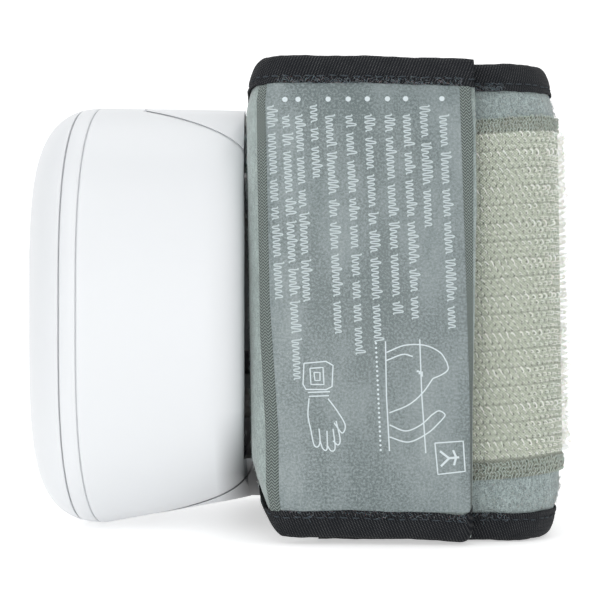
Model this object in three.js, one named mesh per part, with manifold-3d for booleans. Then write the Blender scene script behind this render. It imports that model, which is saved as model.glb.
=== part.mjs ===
// Wrist blood pressure monitor in millimetres.
// +Z runs along the wrist. The display looks towards -X, the cuff ring lies towards +X,
// and the printed flap of the cuff faces -Y. Depths along X are first measured from the
// front face of the case, and the whole part is centred at the end.

import * as THREE from 'three';
import { mergeVertices } from 'three/addons/utils/BufferGeometryUtils.js';
import Module from 'manifold-3d';

const wasm = await Module();
wasm.setup();

// Fits shared by every piece
const fit = {
  seam: 0.3, // between two mouldings that meet in a visible seam
  rest: 0.3, // between a piece and what it rests on
  film: 0.12, // between the label and the cloth that it lies on
  overrun: 3, // how far a cutter runs past what it cuts
  weld: 0.00001, // points closer than this are one point
};

// Moulded case: a soft block with domed rim, tapered ends and a hollow back
const shell = {
  width: 69,
  length: 68.8,
  depth: 34.3,
  wall: 2.2,
  frontRound: 10.3, // depth over which the front rim reaches full size
  backRound: 6, // depth over which the back rim turns in
  backIn: 4.5, // how far the back rim turns in
  sideTaper: 2, // draw-in of each long side towards the back
  endTaper: 3.9, // draw-in of each end towards the back
  endSweep: 1, // how far every seam sweeps back at the two ends
  segments: 36,
};
const flatWidthShare = 0.72;
const flatLengthShare = 0.59;
const squareness = 2.76; // exponent of the superellipse section
const rimPower = 2.4;
const taperPower = 1.2;
const sweepPower = 4;
const capShare = 0.86;
const middleShare = 0.5;
const arcSegments = 4; // chords in a quarter circle of an outline
const seamSegments = 8; // chords in the curved seam of the back cover
const frontLevelShares = [0.03, 0.12, 0.28, 0.6, 1];
const middleLevelShares = [0.5, 1];
const backLevelShares = [0.45, 0.75, 0.93];

// Two seams round the case, with the trim band between them, and its locating tongue
const band = { front: 6.8, back: 9.5, tongueRun: 1.4, tongueThick: 1 };

// Back cover: a saddle plate, with a lip at each end behind a curved seam
const cover = {
  thick: 2.4,
  seamHalf: 23.4,
  cornerHalf: 28.6,
  lipHalf: 33,
  lipDepth: 18,
  bend: 34.7,
  tongueRun: 2.4,
  tongueThick: 1,
};

// Display window and its ledge, buttons and the parts behind them
const display = { width: 34, height: 23, radius: 3, thick: 1.4, ledge: 1.8, drop: 4.4 };
const lcd = { thick: 2.8, margin: 0.7, holderThick: 1.1, holderRim: 1.6 };
const button = {
  height: 8,
  startLength: 23,
  setLength: 8,
  between: 3.6,
  above: 5.8, // from the top of the window to the middle of the buttons
  proud: 0.5,
  round: 4,
};
const keySeat = { flange: 0.8, flangeThick: 0.9 };
const keySwitch = { size: 6, thick: 2, plunger: 1.6, plungerHeight: 0.3 };
const board = { thick: 1.6, nearSide: 24, farSide: 9.9, half: 22, radius: 3 };

// Two cells, one behind the other, in a tray behind a door in the far long side
const cell = {
  radius: 5.25,
  length: 43.7,
  capRadius: 1.9,
  capLength: 0.8,
  space: 0.3,
  side: 17.2, // from the middle of the case to the middle of the cells
  sides: 20,
};
const tray = { wall: 1.2, backWall: 0.8, floorGap: 0.4, lip: 8.8, half: 24.85 };
const spring = {
  wire: 0.5,
  coilRadius: 2.4,
  turns: 3,
  steps: 8,
  sides: 5,
  length: 3,
  plate: 0.5,
  plateHalf: 3.2,
};
const door = { half: 23.4, frontSpace: 1.6, backSpace: 4.6, latchGap: 0.6 };
const tongue = { wide: 2.8, run: 1.7, thick: 1.1, root: 2.5, apart: 5.4 };

// Diaphragm pump with its motor, release valve, pressure sensor, buzzer, air block and hoses
const pump = {
  radius: 8,
  length: 20.6,
  side: 19.6,
  depth: 21,
  low: 18.4,
  sides: 20,
  neck: 2.6,
  neckLength: 0.9,
};
const crank = {
  shaftRadius: 0.9,
  shaftIn: 4,
  discRadius: 4,
  discThick: 2,
  pinRadius: 0.8,
  pinLength: 1.4,
  throw: 2,
};
const pumpHead = { half: 7.2, length: 13, cavityRadius: 5.2, cavityDepth: 6.4 };
const nozzle = { radius: 1.2, length: 2.4, bare: 1 };
const valve = { half: 4.5, length: 12, side: 3.2, rise: 4, nozzleRise: 2 };
const sensor = { half: 3.5, thick: 3 };
const buzzer = { radius: 4.5, thick: 2.6, side: 14, rise: 14 };
const airBlock = { half: 4, length: 12, thick: 6.5, rise: 8, nozzleSide: 3, plug: 1.6 };
const hose = { radius: 2.3, bore: 1.65, bend: 6, sides: 8, steps: 8 };

// Screws through the back cover into bosses of the rear shell
const screw = {
  side: 6.6,
  end: 22.6,
  headRadius: 2.3,
  headThick: 1.3,
  shankRadius: 1.1,
  length: 9,
  sides: 12,
};
const boss = { radius: 3.1, rib: 1.5, from: 12.1, ribTo: 15.2, to: 27.2, postRadius: 2.6 };

// Cuff loop, seen along the wrist: one strip, from the flap's free end under the case,
// round the wrist and back under the flap as the tail
const loop = {
  clear: 0.9, // from the back of the case to the outer face of the cuff
  depth: 48.5, // from the case side to the far right side
  far: 30.4, // outer face beyond the wrist
  nearRight: 30, // outer face of the tail towards the flap, at the right end and at the left end
  nearLeft: 28.1,
  foldRadius: 6.6, // of the corner at which the flap folds back
  leftRadius: 9,
  rightRadius: 16,
  bulge: 0.8, // how far the cuff stands out into the hollow of the case
  bulgeRadius: 60,
  tailIn: 9.8, // from the case side of the loop to the end of the tail under the flap
  flapReach: 34.2, // from there to the end of the flap over the tail
  arcStep: 0.9, // eight times the greatest gap between an arc and its chords
  lineStep: 11,
};
const foldShare = 0.5; // the flap folds this far round the near left corner
const edgeRiseShare = 0.75; // the edges have risen this far round it
const cuff = {
  width: 72.8,
  lift: 0.2,
  fabric: 1,
  former: 0.8,
  bladder: 2.2,
  lining: 0.8,
  gap: 0.3,
  caseLift: 5.6, // how much higher the lower edge lies where it passes under the case
  caseDrop: 1.3, // the same for the upper edge
  blend: 14, // run over which the edges and the thickness change
};
const binding = { height: 4.4, thick: 0.45 };
const flap = {
  cloth: 1.2,
  pad: 0.8,
  lift: 0.9, // lower edge of the flap above the lower edge of the tail
  sag: 0.7, // how far its free end hangs lower
  foldGap: 0.3,
};
const label = {
  thick: 0.25,
  width: 26.5,
  hem: 3, // from the label to the end of the flap
  rim: 1,
};
const tape = { thick: 0.5, width: 2.1, gap: 0.3 };
const hooks = {
  backing: 0.5,
  height: 1.2,
  width: 0.6,
  low: 9.4, // bare velour below the tape, and above it
  high: 9.6,
  clear: 1, // between the flap's end and the tape of the first hooks
  rim: 1.1, // plain backing round the hooks
  cornerColumns: 11,
  sideColumns: 9,
  rows: 18,
  lean: 0.5,
  farEnd: 13, // how far past the middle the tape runs on the right side
};
const hookTipShare = 0.5;
const clip = { radius: 2, headRadius: 2.8, headThick: 0.8, side: 6.8, rise: 15, sides: 12 };
const nipple = { radius: 2, bore: 0.9 };

const caseBack = shell.depth;
const loopLeft = caseBack + loop.clear;
const loopRight = loopLeft + loop.depth;
const tailEnd = loopLeft + loop.tailIn;
const flapEnd = loopLeft + loop.flapReach;
const labelTo = flapEnd - label.hem;
const labelFrom = labelTo - label.width;
const seatGap = fit.rest + binding.thick + fit.film; // the cuff's cloth to the hollow back of the case
const cuffThick = cuff.fabric + cuff.former + cuff.bladder + cuff.lining + 3 * cuff.gap;
const flapThick = flap.pad + cuff.gap + flap.cloth;
const tapeOut = fit.rest + hooks.backing;
const flapOut = tapeOut + fit.rest + binding.thick + fit.film + flapThick;
const hookTip = loopRight + tapeOut + hooks.height;

const paint = {
  case: { color: 0xf3f5f7, roughness: 0.42, metalness: 0 },
  window: { color: 0x16191c, roughness: 0.08, metalness: 0 },
  lcd: { color: 0x8f9b90, roughness: 0.3, metalness: 0 },
  button: { color: 0xb9c2c8, roughness: 0.45, metalness: 0 },
  inner: { color: 0xd9dcdc, roughness: 0.6, metalness: 0 },
  board: { color: 0x1f5b3a, roughness: 0.55, metalness: 0 },
  black: { color: 0x222426, roughness: 0.6, metalness: 0 },
  steel: { color: 0xb8bcc0, roughness: 0.3, metalness: 1 },
  brass: { color: 0xc7a25a, roughness: 0.35, metalness: 1 },
  cell: { color: 0x3d4a58, roughness: 0.35, metalness: 0.3 },
  silicone: { color: 0xdfe3e0, roughness: 0.5, metalness: 0 },
  velour: { color: 0x919c98, roughness: 0.95, metalness: 0 },
  lining: { color: 0x7d8784, roughness: 0.95, metalness: 0 },
  former: { color: 0xe8e8e4, roughness: 0.5, metalness: 0 },
  bladder: { color: 0x6c7377, roughness: 0.5, metalness: 0 },
  label: { color: 0x9da6a5, roughness: 0.4, metalness: 0 },
  twill: { color: 0x5d6663, roughness: 0.9, metalness: 0 },
  binding: { color: 0x2b3033, roughness: 0.85, metalness: 0 },
  hook: { color: 0xbebeb9, roughness: 0.5, metalness: 0 },
};

const whole = new THREE.Group();
whole.position.x = (button.proud - hookTip) / 2;
const caseGroup = new THREE.Group();
caseGroup.position.z = shell.length / 2;
const cuffGroup = new THREE.Group();
whole.add(caseGroup, cuffGroup);

// A closed geometry as a solid that can be joined and cut
function solid(geometry) {
  const bare = geometry.clone();
  bare.deleteAttribute('normal');
  bare.deleteAttribute('uv');
  const merged = mergeVertices(bare, fit.weld);
  return new wasm.Manifold(new wasm.Mesh({
    numProp: 3,
    vertProperties: merged.attributes.position.array,
    triVerts: new Uint32Array(merged.index.array),
  }));
}

function geometryOf(body) {
  const mesh = body.getMesh();
  const geometry = new THREE.BufferGeometry();
  geometry.setAttribute('position', new THREE.BufferAttribute(mesh.vertProperties, 3));
  geometry.setIndex(new THREE.BufferAttribute(mesh.triVerts, 1));
  geometry.computeVertexNormals();
  return geometry;
}

function place(group, name, shape, look) {
  const geometry = shape.isBufferGeometry ? shape : geometryOf(shape);
  const mesh = new THREE.Mesh(geometry, new THREE.MeshStandardMaterial(look));
  mesh.name = name;
  group.add(mesh);
}

const at = (x, y, z) => new THREE.Vector3(x, y, z);
const unite = (...bodies) => bodies.reduce((sum, next) => sum.add(next));

// A box between two opposite corners
function box(from, to) {
  const size = new THREE.Vector3().subVectors(to, from);
  const middle = new THREE.Vector3().addVectors(from, to).divideScalar(2);
  return solid(new THREE.BoxGeometry(size.x, size.y, size.z).translate(middle.x, middle.y, middle.z));
}

// A round rod between the centres of its two ends
function rod(from, to, radius, sides = screw.sides, farRadius = radius) {
  const run = new THREE.Vector3().subVectors(to, from);
  const geometry = new THREE.CylinderGeometry(farRadius, radius, run.length(), sides);
  const turn = new THREE.Quaternion().setFromUnitVectors(at(0, 1, 0), run.clone().normalize());
  const middle = new THREE.Vector3().addVectors(from, to).divideScalar(2);
  return solid(geometry.applyQuaternion(turn).translate(middle.x, middle.y, middle.z));
}

// A rounded rectangle in the plane of Y and Z
function roundedRect(width, height, radius, y = 0, z = 0) {
  const shape = new THREE.Shape();
  const right = y + width / 2 - radius;
  const left = y - width / 2 + radius;
  const top = z + height / 2 - radius;
  const foot = z - height / 2 + radius;
  shape.absarc(right, top, radius, 0, Math.PI / 2);
  shape.absarc(left, top, radius, Math.PI / 2, Math.PI);
  shape.absarc(left, foot, radius, Math.PI, 1.5 * Math.PI);
  shape.absarc(right, foot, radius, 1.5 * Math.PI, 2 * Math.PI);
  return shape;
}

// An outline in the plane of Y and Z, run along X between two depths
function plate(shape, from, to) {
  const settings = { depth: to - from, bevelEnabled: false, curveSegments: arcSegments };
  const geometry = new THREE.ExtrudeGeometry(shape, settings);
  const basis = new THREE.Matrix4().makeBasis(at(0, 1, 0), at(0, 0, 1), at(1, 0, 0));
  return solid(geometry.applyMatrix4(basis).translate(from, 0, 0));
}

// Six times the volume inside a list of triangles: below zero when they face inwards
function signedVolume(points, faces) {
  let sum = 0;
  for (let index = 0; index < faces.length; index += 3) {
    const [a, b, c] = faces.slice(index, index + 3).map((corner) => points[corner]);
    sum += new THREE.Vector3().crossVectors(b, c).dot(a);
  }
  return sum;
}

// Rings of equal count joined into one closed skin. The cap triangles index one ring.
function skin(rings, capTriangles) {
  const count = rings[0].length;
  const faces = [];
  const corner = (ring, index) => ring * count + (index % count);
  for (let ring = 0; ring + 1 < rings.length; ring++) {
    for (let index = 0; index < count; index++) {
      const [a, b] = [corner(ring, index), corner(ring, index + 1)];
      const [c, d] = [corner(ring + 1, index + 1), corner(ring + 1, index)];
      faces.push(a, b, c, a, c, d);
    }
  }
  const last = rings.length - 1;
  for (const triangle of capTriangles) {
    const [a, b, c] = triangle.toSorted((one, other) => one - other);
    faces.push(corner(0, a), corner(0, c), corner(0, b));
    faces.push(corner(last, a), corner(last, b), corner(last, c));
  }
  const points = rings.flat();
  const turned = signedVolume(points, faces) < 0;
  const geometry = new THREE.BufferGeometry().setFromPoints(points);
  geometry.setIndex(turned ? faces.toReversed() : faces);
  geometry.computeVertexNormals();
  return geometry;
}

// Case form

const clamp01 = (value) => THREE.MathUtils.clamp(value, 0, 1);
const signedPower = (value, exponent) => Math.sign(value) * Math.abs(value) ** exponent;

function rimSwell(depth, flatShare) {
  const left = 1 - clamp01(depth / shell.frontRound);
  return flatShare + (1 - flatShare) * (1 - left ** rimPower) ** (1 / rimPower);
}

// Half width and half length of the outside at a depth behind the front face
function outsideHalf(depth) {
  const run = clamp01((depth - shell.frontRound) / (shell.depth - shell.frontRound)) ** taperPower;
  const turn = clamp01((depth - shell.depth + shell.backRound) / shell.backRound);
  const backIn = shell.backIn * (1 - Math.sqrt(1 - turn ** 2));
  return {
    width: (shell.width / 2) * rimSwell(depth, flatWidthShare) - shell.sideTaper * run - backIn,
    length: (shell.length / 2) * rimSwell(depth, flatLengthShare) - shell.endTaper * run - backIn,
  };
}

// The same for a skin that lies a given inset under the outside
function insetHalf(depth, inset) {
  const sizes = [depth - inset, depth, depth + inset].map(outsideHalf);
  return {
    width: Math.min(...sizes.map((size) => size.width)) - inset,
    length: Math.min(...sizes.map((size) => size.length)) - inset,
  };
}

function caseRing(depth, inset, share = 1) {
  const half = insetHalf(depth, inset);
  return Array.from({ length: shell.segments }, (_, index) => {
    const angle = (index / shell.segments) * 2 * Math.PI;
    const y = share * half.width * signedPower(Math.cos(angle), 2 / squareness);
    const z = share * half.length * signedPower(Math.sin(angle), 2 / squareness);
    const sweep = shell.endSweep * Math.abs(z / (shell.length / 2)) ** sweepPower;
    return at(depth + sweep, y, z);
  });
}

// Depths at which the case is sampled
function caseLevels() {
  const straight = shell.depth - shell.backRound - shell.frontRound;
  return [
    ...frontLevelShares.map((share) => share * shell.frontRound),
    ...middleLevelShares.map((share) => shell.frontRound + share * straight),
    ...backLevelShares.map((share) => shell.depth - shell.backRound + share * shell.backRound),
  ];
}

// The block of the case between two depths, at an inset under its outside
function caseBlock(from, to, inset = 0) {
  const between = caseLevels().filter((depth) => depth > from + fit.seam && depth < to - fit.seam);
  const rings = [from, ...between, to].map((depth) => caseRing(depth, inset));
  rings.unshift(caseRing(from, inset, capShare));
  rings.push(caseRing(to, inset, capShare));
  const fan = Array.from({ length: shell.segments - 2 }, (_, index) => [0, index + 1, index + 2]);
  return solid(skin(rings, fan));
}

// The wall of the case between two depths
const caseWall = (from, to, inset, thick) =>
  caseBlock(from, to, inset).subtract(caseBlock(from - fit.overrun, to + fit.overrun, inset + thick));

// Cuff path

// A path with rounded corners. It gives samples with their outward normal and distance run,
// and the run at which each corner starts and ends.
function roundedPath(corners) {
  const points = corners.map(([x, y]) => new THREE.Vector2(x, y));
  const curves = [];
  let from = points[0];
  for (let index = 1; index + 1 < corners.length; index++) {
    const radius = corners[index][2];
    const before = points[index - 1].clone().sub(points[index]).normalize();
    const after = points[index + 1].clone().sub(points[index]).normalize();
    const half = Math.acos(before.dot(after)) / 2;
    const start = points[index].clone().addScaledVector(before, radius / Math.tan(half));
    const end = points[index].clone().addScaledVector(after, radius / Math.tan(half));
    const inward = before.add(after).normalize();
    const centre = points[index].clone().addScaledVector(inward, radius / Math.sin(half));
    const angleOf = (point) => Math.atan2(point.y - centre.y, point.x - centre.x);
    curves.push(new THREE.LineCurve(from, start));
    const angles = [start, end].map(angleOf);
    curves.push(new THREE.EllipseCurve(centre.x, centre.y, radius, radius, ...angles, true));
    from = end;
  }
  curves.push(new THREE.LineCurve(from, points.at(-1)));
  return sampled(curves);
}

function sampled(curves) {
  const samples = [];
  const marks = [0];
  for (const curve of curves) {
    const length = curve.getLength();
    const arcStep = Math.sqrt((curve.xRadius ?? 0) * loop.arcStep);
    const count = Math.max(1, Math.round(length / (arcStep || loop.lineStep)));
    for (let index = samples.length ? 1 : 0; index <= count; index++) {
      const share = index / count;
      const tangent = curve.getTangent(share);
      const normal = new THREE.Vector2(-tangent.y, tangent.x);
      samples.push({ point: curve.getPoint(share), normal, run: marks.at(-1) + share * length });
    }
    marks.push(marks.at(-1) + length);
  }
  return { samples, marks };
}

function sampleAt(samples, run) {
  const found = samples.findIndex((sample) => sample.run >= run);
  const next = found < 0 ? samples.length - 1 : Math.max(found, 1);
  const [a, b] = [samples[next - 1], samples[next]];
  const share = clamp01((run - a.run) / (b.run - a.run));
  const normal = a.normal.clone().lerp(b.normal, share).normalize();
  return { point: a.point.clone().lerp(b.point, share), normal, run };
}

// The stretch of a path between two runs, with a sample at each end
function stretch(samples, from, to) {
  const inside = samples.filter(({ run }) => run > from + fit.rest && run < to - fit.rest);
  return [sampleAt(samples, from), ...inside, sampleAt(samples, to)];
}

const offPath = ({ point, normal }, out, z) => at(point.x + normal.x * out, point.y + normal.y * out, z);

// A section swept along samples: sectionAt gives its corners as outward offset and height
function sweep(samples, sectionAt) {
  const rings = samples.map((sample) => sectionAt(sample).map(([out, z]) => offPath(sample, out, z)));
  const outline = sectionAt(samples[0]).map(([out, z]) => new THREE.Vector2(out, z));
  return skin(rings, THREE.ShapeUtils.triangulateShape(outline, []));
}

// Faces of the tail and the flap on the near side, at a depth
const nearSlope = (loop.nearRight - loop.nearLeft) / loop.depth;
const nearAt = (depth, out = 0) => -(loop.nearLeft + nearSlope * (depth - loopLeft)) - out;

// The cuff's outer face, from the flap's free end to the end of the tail
const { samples: loopPath, marks } = roundedPath([
  [flapEnd, nearAt(flapEnd, flapOut)],
  [loopLeft, nearAt(loopLeft, flapOut), loop.foldRadius],
  [loopLeft - loop.bulge, 0, loop.bulgeRadius],
  [loopLeft, loop.far, loop.leftRadius],
  [loopRight, loop.far, loop.rightRadius],
  [loopRight, nearAt(loopRight), loop.rightRadius],
  [tailEnd, nearAt(tailEnd)],
]);
const [, cornerStart, wallStart, bulgeStart, bulgeEnd, wallEnd] = marks;
const [rightStart, rightEnd, nearStart, loopEnd] = marks.slice(-4);
const wallMiddle = (bulgeStart + bulgeEnd) / 2;
const foldRun = THREE.MathUtils.lerp(cornerStart, wallStart, foldShare);
const risenRun = THREE.MathUtils.lerp(cornerStart, wallStart, edgeRiseShare);
const flapRunAt = (depth) => flapEnd - depth;

function loopRunAt(depth) {
  const after = loopPath.findIndex(({ point, run }) => run > rightEnd && point.x < depth);
  const [a, b] = [loopPath[after - 1], loopPath[after]];
  return THREE.MathUtils.mapLinear(depth, a.point.x, b.point.x, a.run, b.run);
}

// How far under the case a sample lies: 0 on the open sides, 1 behind the case
function underCase({ run }) {
  const rising = THREE.MathUtils.smoothstep(run, cornerStart, risenRun);
  const falling = 1 - THREE.MathUtils.smoothstep(run, wallEnd, wallEnd + cuff.blend);
  return Math.min(rising, falling);
}

// The flap hangs a little at its free end. Its height fades into the band's past the fold.
function flapLift({ run }) {
  const hang = flap.sag * (1 - clamp01(run / foldRun)) ** 2;
  const fade = 1 - THREE.MathUtils.smoothstep(run, foldRun, wallStart);
  return flap.lift * fade - hang;
}

const edgeLow = (sample) => cuff.lift + flapLift(sample) + cuff.caseLift * underCase(sample);
const edgeHigh = (sample) => cuff.lift + cuff.width + flapLift(sample) - cuff.caseDrop * underCase(sample);

// A layer between two outward offsets, which stops an inset short of the cuff's two edges
const layer = (samples, inner, outer, inset) =>
  sweep(samples, (sample) => [
    [inner, edgeLow(sample) + inset],
    [inner, edgeHigh(sample) - inset],
    [outer, edgeHigh(sample) - inset],
    [outer, edgeLow(sample) + inset],
  ]);

const webInset = binding.thick + fit.rest; // for a layer held inside the folded bindings
const legInset = binding.height + fit.rest; // for one that stops short of them

// Thickness of the cuff: thin at the flap, full where it lies under the case and beyond
function thickAt({ run }) {
  const grown = THREE.MathUtils.smoothstep(run, foldRun, wallStart);
  return THREE.MathUtils.lerp(flapThick, cuffThick, grown);
}

// A round cutter or stud square to the cuff path, through the given outward offsets
function pathRod(run, z, from, to, radius, sides, farRadius = radius) {
  const sample = sampleAt(loopPath, run);
  return rod(offPath(sample, from, z), offPath(sample, to, z), radius, sides, farRadius);
}

// Cuff

function buildCuff() {
  const innerStart = wallStart + fit.rest;
  const caseMiddle = shell.length / 2;
  const studs = [-1, 1].flatMap((side) =>
    [-1, 1].map((end) => ({ run: wallMiddle + side * clip.side, z: caseMiddle + end * clip.rise })));
  const nippleHole = { run: wallMiddle, z: caseMiddle - airBlock.rise };
  const formerOut = -(cuff.fabric + cuff.gap);
  const formerIn = formerOut - cuff.former;
  const bladderOut = formerIn - cuff.gap;
  const bladderIn = bladderOut - cuff.bladder;
  const liningOut = bladderIn - cuff.gap;

  // Outer cloth: as thick as the flap up to the fold, one layer from there on
  const clothSamples = stretch(loopPath, foldRun + flap.foldGap / 2, loopEnd);
  let cloth = solid(sweep(clothSamples, (sample) => {
    const inner = sample.run < wallStart ? -flapThick : -cuff.fabric;
    return [
      [inner, edgeLow(sample) + webInset],
      [inner, edgeHigh(sample) - webInset],
      [0, edgeHigh(sample) - webInset],
      [0, edgeLow(sample) + webInset],
    ];
  }));
  for (const { run, z } of studs) {
    cloth = cloth.subtract(pathRod(run, z, -fit.overrun, fit.overrun, clip.radius + fit.rest, clip.sides));
  }
  const feed = (radius, from, to) => pathRod(nippleHole.run, nippleHole.z, from, to, radius, clip.sides);
  cloth = cloth.subtract(feed(nipple.radius + fit.rest, -fit.overrun, fit.overrun));
  place(cuffGroup, 'cuff_cloth', cloth, paint.velour);

  // Springy former, with the studs that snap into the back cover
  let former = solid(layer(stretch(loopPath, innerStart, nearStart), formerIn, formerOut, legInset));
  former = former.subtract(feed(nipple.radius + fit.rest, -fit.overrun, fit.overrun));
  const headStart = seatGap + cover.thick + fit.rest;
  for (const { run, z } of studs) {
    const headEnd = headStart + clip.headThick;
    const studEnd = headEnd - clip.headThick / 2;
    const stud = pathRod(run, z, formerOut - cuff.former / 2, studEnd, clip.radius, clip.sides);
    const head = pathRod(run, z, headStart, headEnd, clip.headRadius, clip.sides);
    former = unite(former, stud, head);
  }
  place(cuffGroup, 'cuff_former', former, paint.former);

  // Air bladder with its nipple, and the foam that fills the tail beyond it
  const bladder = solid(layer(stretch(loopPath, innerStart, rightStart), bladderIn, bladderOut, legInset));
  const nippleEnd = sampleAt(loopPath, wallMiddle).point.x - (coverInside(0) - airBlock.plug);
  const stem = feed(nipple.radius, bladderOut - cuff.bladder / 2, nippleEnd);
  const bore = feed(nipple.bore, bladderOut, nippleEnd + fit.overrun);
  place(cuffGroup, 'air_bladder', bladder.add(stem).subtract(bore), paint.bladder);
  const foamSamples = stretch(loopPath, rightStart + fit.rest, loopEnd - fit.rest);
  place(cuffGroup, 'tail_foam', layer(foamSamples, bladderIn, bladderOut, legInset), paint.silicone);
  const liningSamples = stretch(loopPath, innerStart, loopEnd);
  const lining = layer(liningSamples, liningOut - cuff.lining, liningOut, webInset);
  place(cuffGroup, 'cuff_lining', lining, paint.lining);
}

// A folded edge tape: a U round an edge at height, its legs running up for side 1 and down for -1
function foldedEdge(outer, inner, edge, side) {
  const legEnd = edge + side * binding.height;
  const webIn = edge + side * binding.thick;
  const outFace = outer + fit.film + binding.thick;
  const inFace = inner - fit.film - binding.thick;
  const section = [
    [inFace, edge],
    [inFace, legEnd],
    [inner - fit.film, legEnd],
    [inner - fit.film, webIn],
    [outer + fit.film, webIn],
    [outer + fit.film, legEnd],
    [outFace, legEnd],
    [outFace, edge],
  ];
  return side > 0 ? section : section.reverse();
}

function buildBindings(samples, name, inner) {
  const low = sweep(samples, (sample) => foldedEdge(0, inner(sample), edgeLow(sample), 1));
  const high = sweep(samples, (sample) => foldedEdge(0, inner(sample), edgeHigh(sample), -1));
  place(cuffGroup, `${name}_binding_low`, low, paint.binding);
  place(cuffGroup, `${name}_binding_high`, high, paint.binding);
}

// Flap: cloth, loop pad inside, printed label and two woven tapes outside
function buildFlap() {
  const flapSamples = stretch(loopPath, 0, foldRun - flap.foldGap / 2);
  const padStart = flap.cloth + cuff.gap;
  place(cuffGroup, 'flap_cloth', layer(flapSamples, -flap.cloth, 0, webInset), paint.velour);
  place(cuffGroup, 'flap_loop_pad', layer(flapSamples, -flapThick, -padStart, webInset), paint.lining);
  buildBindings(flapSamples, 'flap', () => -flapThick);
  const onFlap = (from, to) => stretch(loopPath, flapRunAt(to), flapRunAt(from));
  const labelInset = binding.height + label.rim;
  const labelOut = fit.film + label.thick;
  const printed = layer(onFlap(labelFrom, labelTo), fit.film, labelOut, labelInset);
  place(cuffGroup, 'label_film', printed, paint.label);
  const tapes = {
    left: [labelFrom - tape.gap - tape.width, labelFrom - tape.gap],
    right: [labelTo + tape.gap, labelTo + tape.gap + tape.width],
  };
  for (const [side, [from, to]] of Object.entries(tapes)) {
    const woven = layer(onFlap(from, to), fit.film, fit.film + tape.thick, legInset);
    place(cuffGroup, `flap_tape_${side}`, woven, paint.twill);
  }
}

// Hook tape: a woven backing with leaning hooks in rows, all pointing out from the tail

function strand(sample, z, lean) {
  const root = hooks.backing / 2 + fit.rest;
  const ring = (out, rise, size) =>
    [0, 1, 2].map((index) => {
      const angle = (index / 3) * 2 * Math.PI;
      const along = (Math.cos(angle) * size) / 2;
      const side = new THREE.Vector2(-sample.normal.y, sample.normal.x).multiplyScalar(-along);
      const base = offPath(sample, out, z + rise + (Math.sin(angle) * size) / 2);
      return at(base.x + side.x, base.y + side.y, base.z);
    });
  const foot = ring(root, 0, hooks.width);
  const tip = ring(tapeOut + hooks.height, lean, hooks.width * hookTipShare);
  return skin([foot, tip], [[0, 1, 2]]);
}

function hookField(from, to, columns) {
  const low = cuff.lift + hooks.low + hooks.rim;
  const high = cuff.lift + cuff.width - hooks.high - hooks.rim;
  const fields = [];
  for (let column = 0; column < columns; column++) {
    const share = (column + middleShare) / columns;
    const sample = sampleAt(loopPath, THREE.MathUtils.lerp(from, to, share));
    for (let row = 0; row < hooks.rows; row++) {
      const z = THREE.MathUtils.lerp(low, high, (row + middleShare) / hooks.rows);
      fields.push(solid(strand(sample, z, row % 2 ? hooks.lean : -hooks.lean)));
    }
  }
  return fields;
}

function backing(from, to) {
  const low = cuff.lift + hooks.low;
  const high = cuff.lift + cuff.width - hooks.high;
  return sweep(stretch(loopPath, from, to), () => [
    [fit.rest, low],
    [fit.rest, high],
    [tapeOut, high],
    [tapeOut, low],
  ]);
}

function buildHookTape() {
  const sideStart = rightStart + (loop.far - loop.rightRadius - hooks.farEnd);
  const coveredStart = loopRunAt(flapEnd + hooks.clear);
  const sideEnd = rightEnd;
  place(cuffGroup, 'hook_tape_covered', backing(coveredStart + fit.seam, loopEnd - hooks.rim), paint.hook);
  const stretches = {
    side: [sideStart, sideEnd, hooks.sideColumns],
    corner: [sideEnd + fit.seam, coveredStart, hooks.cornerColumns],
  };
  for (const [name, [from, to, columns]] of Object.entries(stretches)) {
    const strands = hookField(from + hooks.rim / 2, to - hooks.rim / 2, columns);
    place(cuffGroup, `hook_tape_${name}`, unite(solid(backing(from, to)), ...strands), paint.hook);
  }
}

// Case shells

// The cuff's plan outline, grown outwards: it hollows the back of the case
function cuffPrism(out) {
  const points = loopPath.map((sample) => offPath(sample, out, 0));
  const shape = new THREE.Shape(points.map(({ x, y }) => new THREE.Vector2(x, y)));
  const geometry = new THREE.ExtrudeGeometry(shape, { depth: 2 * shell.length, bevelEnabled: false });
  return solid(geometry.translate(0, 0, -shell.length));
}

// The region behind the curved seam at both ends of the case, grown towards the front by a gap
function lipRegion(gap) {
  const half = shell.width / 2 + fit.overrun;
  const regions = [-1, 1].map((end) => {
    const outline = new THREE.Shape();
    const backEdge = caseBack + shell.endSweep + fit.overrun;
    const seamFoot = cover.seamHalf - gap;
    outline.moveTo(backEdge, end * seamFoot);
    outline.lineTo(caseBack + shell.endSweep - gap, end * seamFoot);
    const corner = [cover.bend - gap, end * (cover.cornerHalf - gap)];
    const lipFront = cover.lipDepth - gap;
    outline.quadraticCurveTo(...corner, lipFront, end * (cover.lipHalf - gap));
    outline.lineTo(lipFront, end * shell.length);
    outline.lineTo(backEdge, end * shell.length);
    const settings = { depth: 2 * half, bevelEnabled: false, curveSegments: seamSegments };
    const geometry = new THREE.ExtrudeGeometry(outline, settings);
    const basis = new THREE.Matrix4().makeBasis(at(1, 0, 0), at(0, 0, 1), at(0, -1, 0));
    return solid(geometry.applyMatrix4(basis).translate(0, half, 0));
  });
  return unite(...regions);
}

const windowMiddle = -display.drop;
const rowMiddle = windowMiddle + display.height / 2 + button.above;
const rowWidth = button.startLength + button.between + button.setLength;
const buttons = [
  { name: 'start', length: button.startLength, side: (rowWidth - button.startLength) / 2 },
  { name: 'memory', length: button.setLength, side: -(rowWidth - button.setLength) / 2 },
];
const keyOutline = ({ length, side }, grow) =>
  roundedRect(length + 2 * grow, button.height + 2 * grow, button.round + grow, side, rowMiddle);
const windowOutline = (grow, radius = display.radius) =>
  roundedRect(display.width + 2 * grow, display.height + 2 * grow, radius, 0, windowMiddle);

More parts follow.
